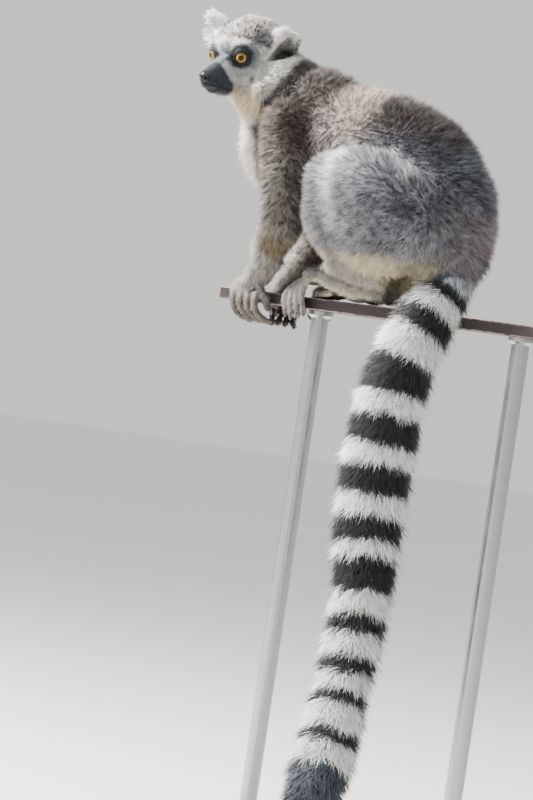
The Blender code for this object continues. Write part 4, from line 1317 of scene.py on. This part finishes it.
def makeEye(name, side, material):
    centre, noseward, up, look = eyeFrame(side)
    rings, steps = eye["rings"], eye["steps"]
    outline = []
    for k in range(rings + 1):
        angle = pi * k / rings
        aside, ahead = face["eyeRadius"] * sin(angle), face["eyeRadius"] * cos(angle)
        if angle < pi / 2 and aside < eye["iris"]:  # the clear front bulges
            ahead += eye["corneaRise"] * (1 - (aside / eye["iris"]) ** 2) ** 1.3
        outline.append((aside, ahead))
    form = bmesh.new()
    turns = [2 * pi * i / steps for i in range(steps)]
    rows = [[form.verts.new((aside * cos(turn) * mm, aside * sin(turn) * mm, ahead * mm)) for turn in turns]
            for aside, ahead in outline[1:-1]]
    front, rear = (form.verts.new((0, 0, outline[k][1] * mm)) for k in (0, -1))
    for i in range(steps):
        j = (i + 1) % steps
        form.faces.new([front, rows[0][i], rows[0][j]])
        form.faces.new([rear, rows[-1][j], rows[-1][i]])
        for upper, lower in zip(rows, rows[1:]):
            form.faces.new([upper[i], lower[i], lower[j], upper[j]])
    bmesh.ops.recalc_face_normals(form, faces=form.faces)
    eyeball = smoothPiece(name, written(form, bpy.data.meshes.new(name)), material)
    # the axes of a left eye are right-handed as they are, and those of a right one once its first is turned
    axes = Matrix((noseward, up, look)).transposed()
    if axes.determinant() < 0:
        axes = Matrix((-noseward, up, look)).transposed()
    eyeball.matrix_world = Matrix.Translation(inWorld(inHead(*centre))) @ (headTurn @ axes).to_4x4()
    return eyeball


eyeFinish = eyeMaterial()
for name, side in sides.items():
    eyeball = makeEye(f"eyeball_{name}", side, eyeFinish)
    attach(eyeball, "root")
    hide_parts(f"eye_{name}")


nail = {
    "length": 6.2, "width": 4.0, "thickness": 0.8, "dark": "#151312", "pale": "#4a423a",
    "points": 9,  # along each side of a nail's grid
    "outward": 2.35,  # from the middle of the finger's end
}


def nailMaterial():  # dark horn with a dull polish, and faint uneven ridges about 2 mm apart
    material, tree, surface, place = newMaterial("nail_dark_ridged_horn")
    tone = addNode(tree, "TexNoise", {"Scale": perMetre(2), "Detail": 3}, Vector=place)
    ramp = addNode(tree, "ValToRGB", {"stops": ((0, nail["dark"]), (1, nail["pale"]))}, n0=tone)
    bump = addNode(tree, "Bump", {"Strength": 0.3, "Distance": 0.0003}, Height=tone)
    setNode(tree, surface, {"Roughness": 0.32}, Base_Color=ramp, Normal=bump)
    return material


def addNail(form, line, outward, size=1.0):  # a curved plate at the end of a finger
    tip, before = Vector(line[-1]), Vector(line[-2])
    along = (tip - before).normalized()
    outward = (Vector(outward) - along * along.dot(Vector(outward))).normalized()
    across = along.cross(outward)
    middle = tip + along * 0.8 + outward * nail["outward"]
    count = nail["points"]
    sheets = []
    for thickness in (nail["thickness"], 0):
        rows = []
        for j in range(count):
            v = j / (count - 1)
            width = nail["width"] / 2 * size * (0.86 + 0.14 * sin(pi * v))
            width *= 1 if v < 0.7 else cos((v - 0.7) * 3.6)
            rows.append([])
            for i in range(count):
                a = 2 * i / (count - 1) - 1
                drop = 1.35 * a * a * size + 1.3 * max(0, v - 0.45) ** 1.6
                place = middle + across * (a * width) + along * ((v - 0.5) * nail["length"] * size)
                place += outward * (thickness - drop)
                rows[-1].append(form.verts.new(inWorld(place)))
        sheets.append(rows)
    addPlate(form, *sheets)


def makeNails():
    form = bmesh.new()
    for side in sides.values():
        for k in range(4):
            addNail(form, fingerLine(k, side), (0, 0, -1), 0.9)
            addNail(form, toeLine(k, side), (side, -0.2, 0))
        addNail(form, thumbLine(side), (side, 0.3, 0), 0.95)
        addNail(form, bigToeLine(side), (0, 0, 1), 1.25)
    bmesh.ops.recalc_face_normals(form, faces=form.faces)
    return smoothPiece("nails", written(form, bpy.data.meshes.new("nails")), nailMaterial())


pieces.append(makeNails())
for piece in pieces:
    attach(piece, "root")
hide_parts(*fleshNodes)
report("eyes and nails made")


rail = {
    "paint": "#140b0a", "faded": "#271918", "steel": "#8f8882", "rust": "#6e3b1e",
    "wear": (0.0024, 0.0004),  # where the worn edge starts and where it is bare, in metres from the corner
}


def railMaterial():  # old oxide paint, brushed on thick, gone chalky, worn to rust and steel at the corners
    material, tree, surface, place = newMaterial("paint_old_oxide_worn")
    # patches of fading 42 mm across, chips of 4.8 mm, and brush marks 2.4 mm apart that run along the bar
    broad = addNode(tree, "TexNoise", {"Scale": perMetre(41.7), "Detail": 6}, Vector=place)
    chips = addNode(tree, "TexNoise", {"Scale": perMetre(4.76), "Detail": 5}, Vector=place)
    stretched = addNode(tree, "VectorMath", {"operation": "MULTIPLY", 1: (1, 0.08, 1)}, n0=place)
    strokes = addNode(tree, "TexNoise", {"Scale": perMetre(2.38), "Detail": 3}, Vector=stretched)
    faded = addNode(tree, "ValToRGB", {"stops": ((0.35, rail["paint"]), (0.7, rail["faded"]))}, n0=broad)
    # wear: only where two faces of the bar meet
    split = addNode(tree, "SeparateXYZ", Vector=place)
    middle, half = (railLow + railHigh) / 2, (railHigh - railLow) / 2
    start, bare = rail["wear"]
    fromEdge = []
    for axis in (0, 2):
        offset = addNode(tree, "Math", {"operation": "SUBTRACT", 1: middle[axis]}, n0=split.outputs[axis])
        size = addNode(tree, "Math", {"operation": "ABSOLUTE"}, n0=offset)
        reach = (half[axis] - start, half[axis] - bare, 0, 1)
        fromEdge.append(addNode(tree, "MapRange", {"range": reach}, Value=size))
    edge = addNode(tree, "Math", {"operation": "MINIMUM"}, n0=fromEdge[0], n1=fromEdge[1])
    chipped = addNode(tree, "Math", {"operation": "MULTIPLY"}, n0=edge, n1=chips)
    worn = addNode(tree, "MapRange", {"range": (0.3, 0.42, 0, 1)}, Value=chipped)
    metals = {6: hexColour(rail["rust"]), 7: hexColour(rail["steel"])}
    metal = addNode(tree, "Mix", {"data_type": "RGBA", **metals}, n0=chips)
    colour = addNode(tree, "Mix", {"data_type": "RGBA"}, n0=worn, n6=faded, n7=metal.outputs[2])
    height = addNode(tree, "Math", {"operation": "SUBTRACT"}, n0=strokes, n1=worn)
    bump = addNode(tree, "Bump", {"Strength": 0.35, "Distance": 0.0004}, Height=height)
    rough = addNode(tree, "MapRange", {"range": (0, 1, 0.42, 0.7)}, Value=broad)
    setNode(tree, surface, {}, Base_Color=colour.outputs[2], Normal=bump, Roughness=rough)
    return material


stand = {"rod": ("#8f9193", "#c6c8ca"), "board": ("#131315", "#26262a")}


def rodMaterial():  # steel brushed round the rod, so fine lines across it catch the light
    material, tree, surface, place = newMaterial("steel_brushed_round")
    # real brush lines are 0.05 mm apart, too fine to show, so they are drawn 0.385 mm apart
    stretched = addNode(tree, "VectorMath", {"operation": "MULTIPLY", 1: (0.05, 0.05, 1)}, n0=place)
    lines = addNode(tree, "TexNoise", {"Scale": perMetre(0.385), "Detail": 3}, Vector=stretched)
    ramp = addNode(tree, "ValToRGB", {"stops": tuple(enumerate(stand["rod"]))}, n0=lines)
    rough = addNode(tree, "MapRange", {"range": (0, 1, 0.24, 0.42)}, Value=lines)
    bump = addNode(tree, "Bump", {"Strength": 0.12, "Distance": 0.0001}, Height=lines)
    setNode(tree, surface, {"Metallic": 1.0}, Base_Color=ramp, Roughness=rough, Normal=bump)
    return material


def boardMaterial():  # black lacquer sprayed on fine-grained board: satin, with a faint orange peel
    material, tree, surface, place = newMaterial("lacquer_black_satin")
    # the grain shows every 4.17 mm and is long in y, and the peel is 1.67 mm across
    stretched = addNode(tree, "VectorMath", {"operation": "MULTIPLY", 1: (1, 0.06, 1)}, n0=place)
    grain = addNode(tree, "TexNoise", {"Scale": perMetre(4.17), "Detail": 5}, Vector=stretched)
    ramp = addNode(tree, "ValToRGB", {"stops": tuple(enumerate(stand["board"]))}, n0=grain)
    peel = addNode(tree, "TexNoise", {"Scale": perMetre(1.67), "Detail": 2}, Vector=place)
    height = addNode(tree, "Math", {"operation": "ADD"}, n0=peel, n1=grain)
    bump = addNode(tree, "Bump", {"Strength": 0.1, "Distance": 0.0002}, Height=height)
    setNode(tree, surface, {"Roughness": 0.34, "Coat Weight": 0.3, "Coat Roughness": 0.2}, Base_Color=ramp,
            Normal=bump)
    return material


for name, makeFinish in (("perch_rail", railMaterial), ("stand_rod_front", rodMaterial),
                         ("stand_rod_rear", rodMaterial), ("stand_base", boardMaterial)):
    finish = makeFinish()
    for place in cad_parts[name].material_slots:
        place.material = finish
report("rail and stand finished")


studio = {
    "floor": ("#f0efec", "#f3f2ef"), "floorRadius": 30, "backdrop": "#f4f4f1", "backdropStrength": 0.98,
    "target": (0.019, -0.0519, 0.491), "distance": 3.6, "bearing": 123, "lens": 162, "roll": 8.5,
    # each light: right, up and toward the camera from the target in metres, then its size, power and colour
    "lights": {
        "key": (-2.0, 1.8, -0.1, 0.5, 400, "#fff9f1"),
        "fill": (-1.6, 1.9, 2.0, 1.0, 26, "#f2f6ff"),
        "top": (0.6, 2.4, 0.6, 1.6, 30, "#ffffff"),
    },
}


def addFloor():  # matt paper, with cloudy patches a third of a metre across
    form = bmesh.new()
    bmesh.ops.create_circle(form, cap_ends=True, segments=96, radius=studio["floorRadius"])
    floor = placed("floor", written(form, bpy.data.meshes.new("floor")))
    material, tree, surface, place = newMaterial("floor_matt_paper")
    clouds = addNode(tree, "TexNoise", {"Scale": perMetre(333), "Detail": 3}, Vector=place)
    ramp = addNode(tree, "ValToRGB", {"stops": tuple(enumerate(studio["floor"]))}, n0=clouds)
    setNode(tree, surface, {"Roughness": 0.9}, Base_Color=ramp)
    floor.data.materials.append(material)


def addSoftLight(name, place, size, power, colour):
    light = bpy.data.lights.new(name, "AREA")
    light.shape = "DISK"
    light.size = size
    light.energy = power
    light.color = tuple(shade(colour))
    lamp = placed(name, light)
    lamp.location = place
    lamp.rotation_euler = (Vector(studio["target"]) - lamp.location).to_track_quat("-Z", "Y").to_euler()


def addStudio():
    addFloor()
    world = bpy.data.worlds.new("studio")
    world.use_nodes = True
    backdrop = world.node_tree.nodes["Background"]
    backdrop.inputs[0].default_value = hexColour(studio["backdrop"])
    backdrop.inputs[1].default_value = studio["backdropStrength"]
    bpy.context.scene.world = world
    bearing = radians(studio["bearing"])
    toCamera = Vector((sin(bearing), -cos(bearing), 0))
    right = Vector((cos(bearing), sin(bearing), 0))
    target = Vector(studio["target"])
    for name, (aside, above, toward, *facts) in studio["lights"].items():
        addSoftLight(name, target + right * aside + Vector((0, 0, above)) + toCamera * toward, *facts)
    camera = bpy.data.cameras.new("camera")
    camera.lens = studio["lens"]
    camera.sensor_width = 36
    camera.sensor_fit = "AUTO"
    camera.clip_end = 200
    view = placed("camera", camera)
    view.location = target + toCamera * studio["distance"]
    facing = (-toCamera).to_track_quat("-Z", "Y").to_matrix()
    view.rotation_euler = (facing @ Matrix.Rotation(radians(studio["roll"]), 3, "Z")).to_euler()
    bpy.context.scene.camera = view


addStudio()
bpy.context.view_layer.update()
report("scene ready")
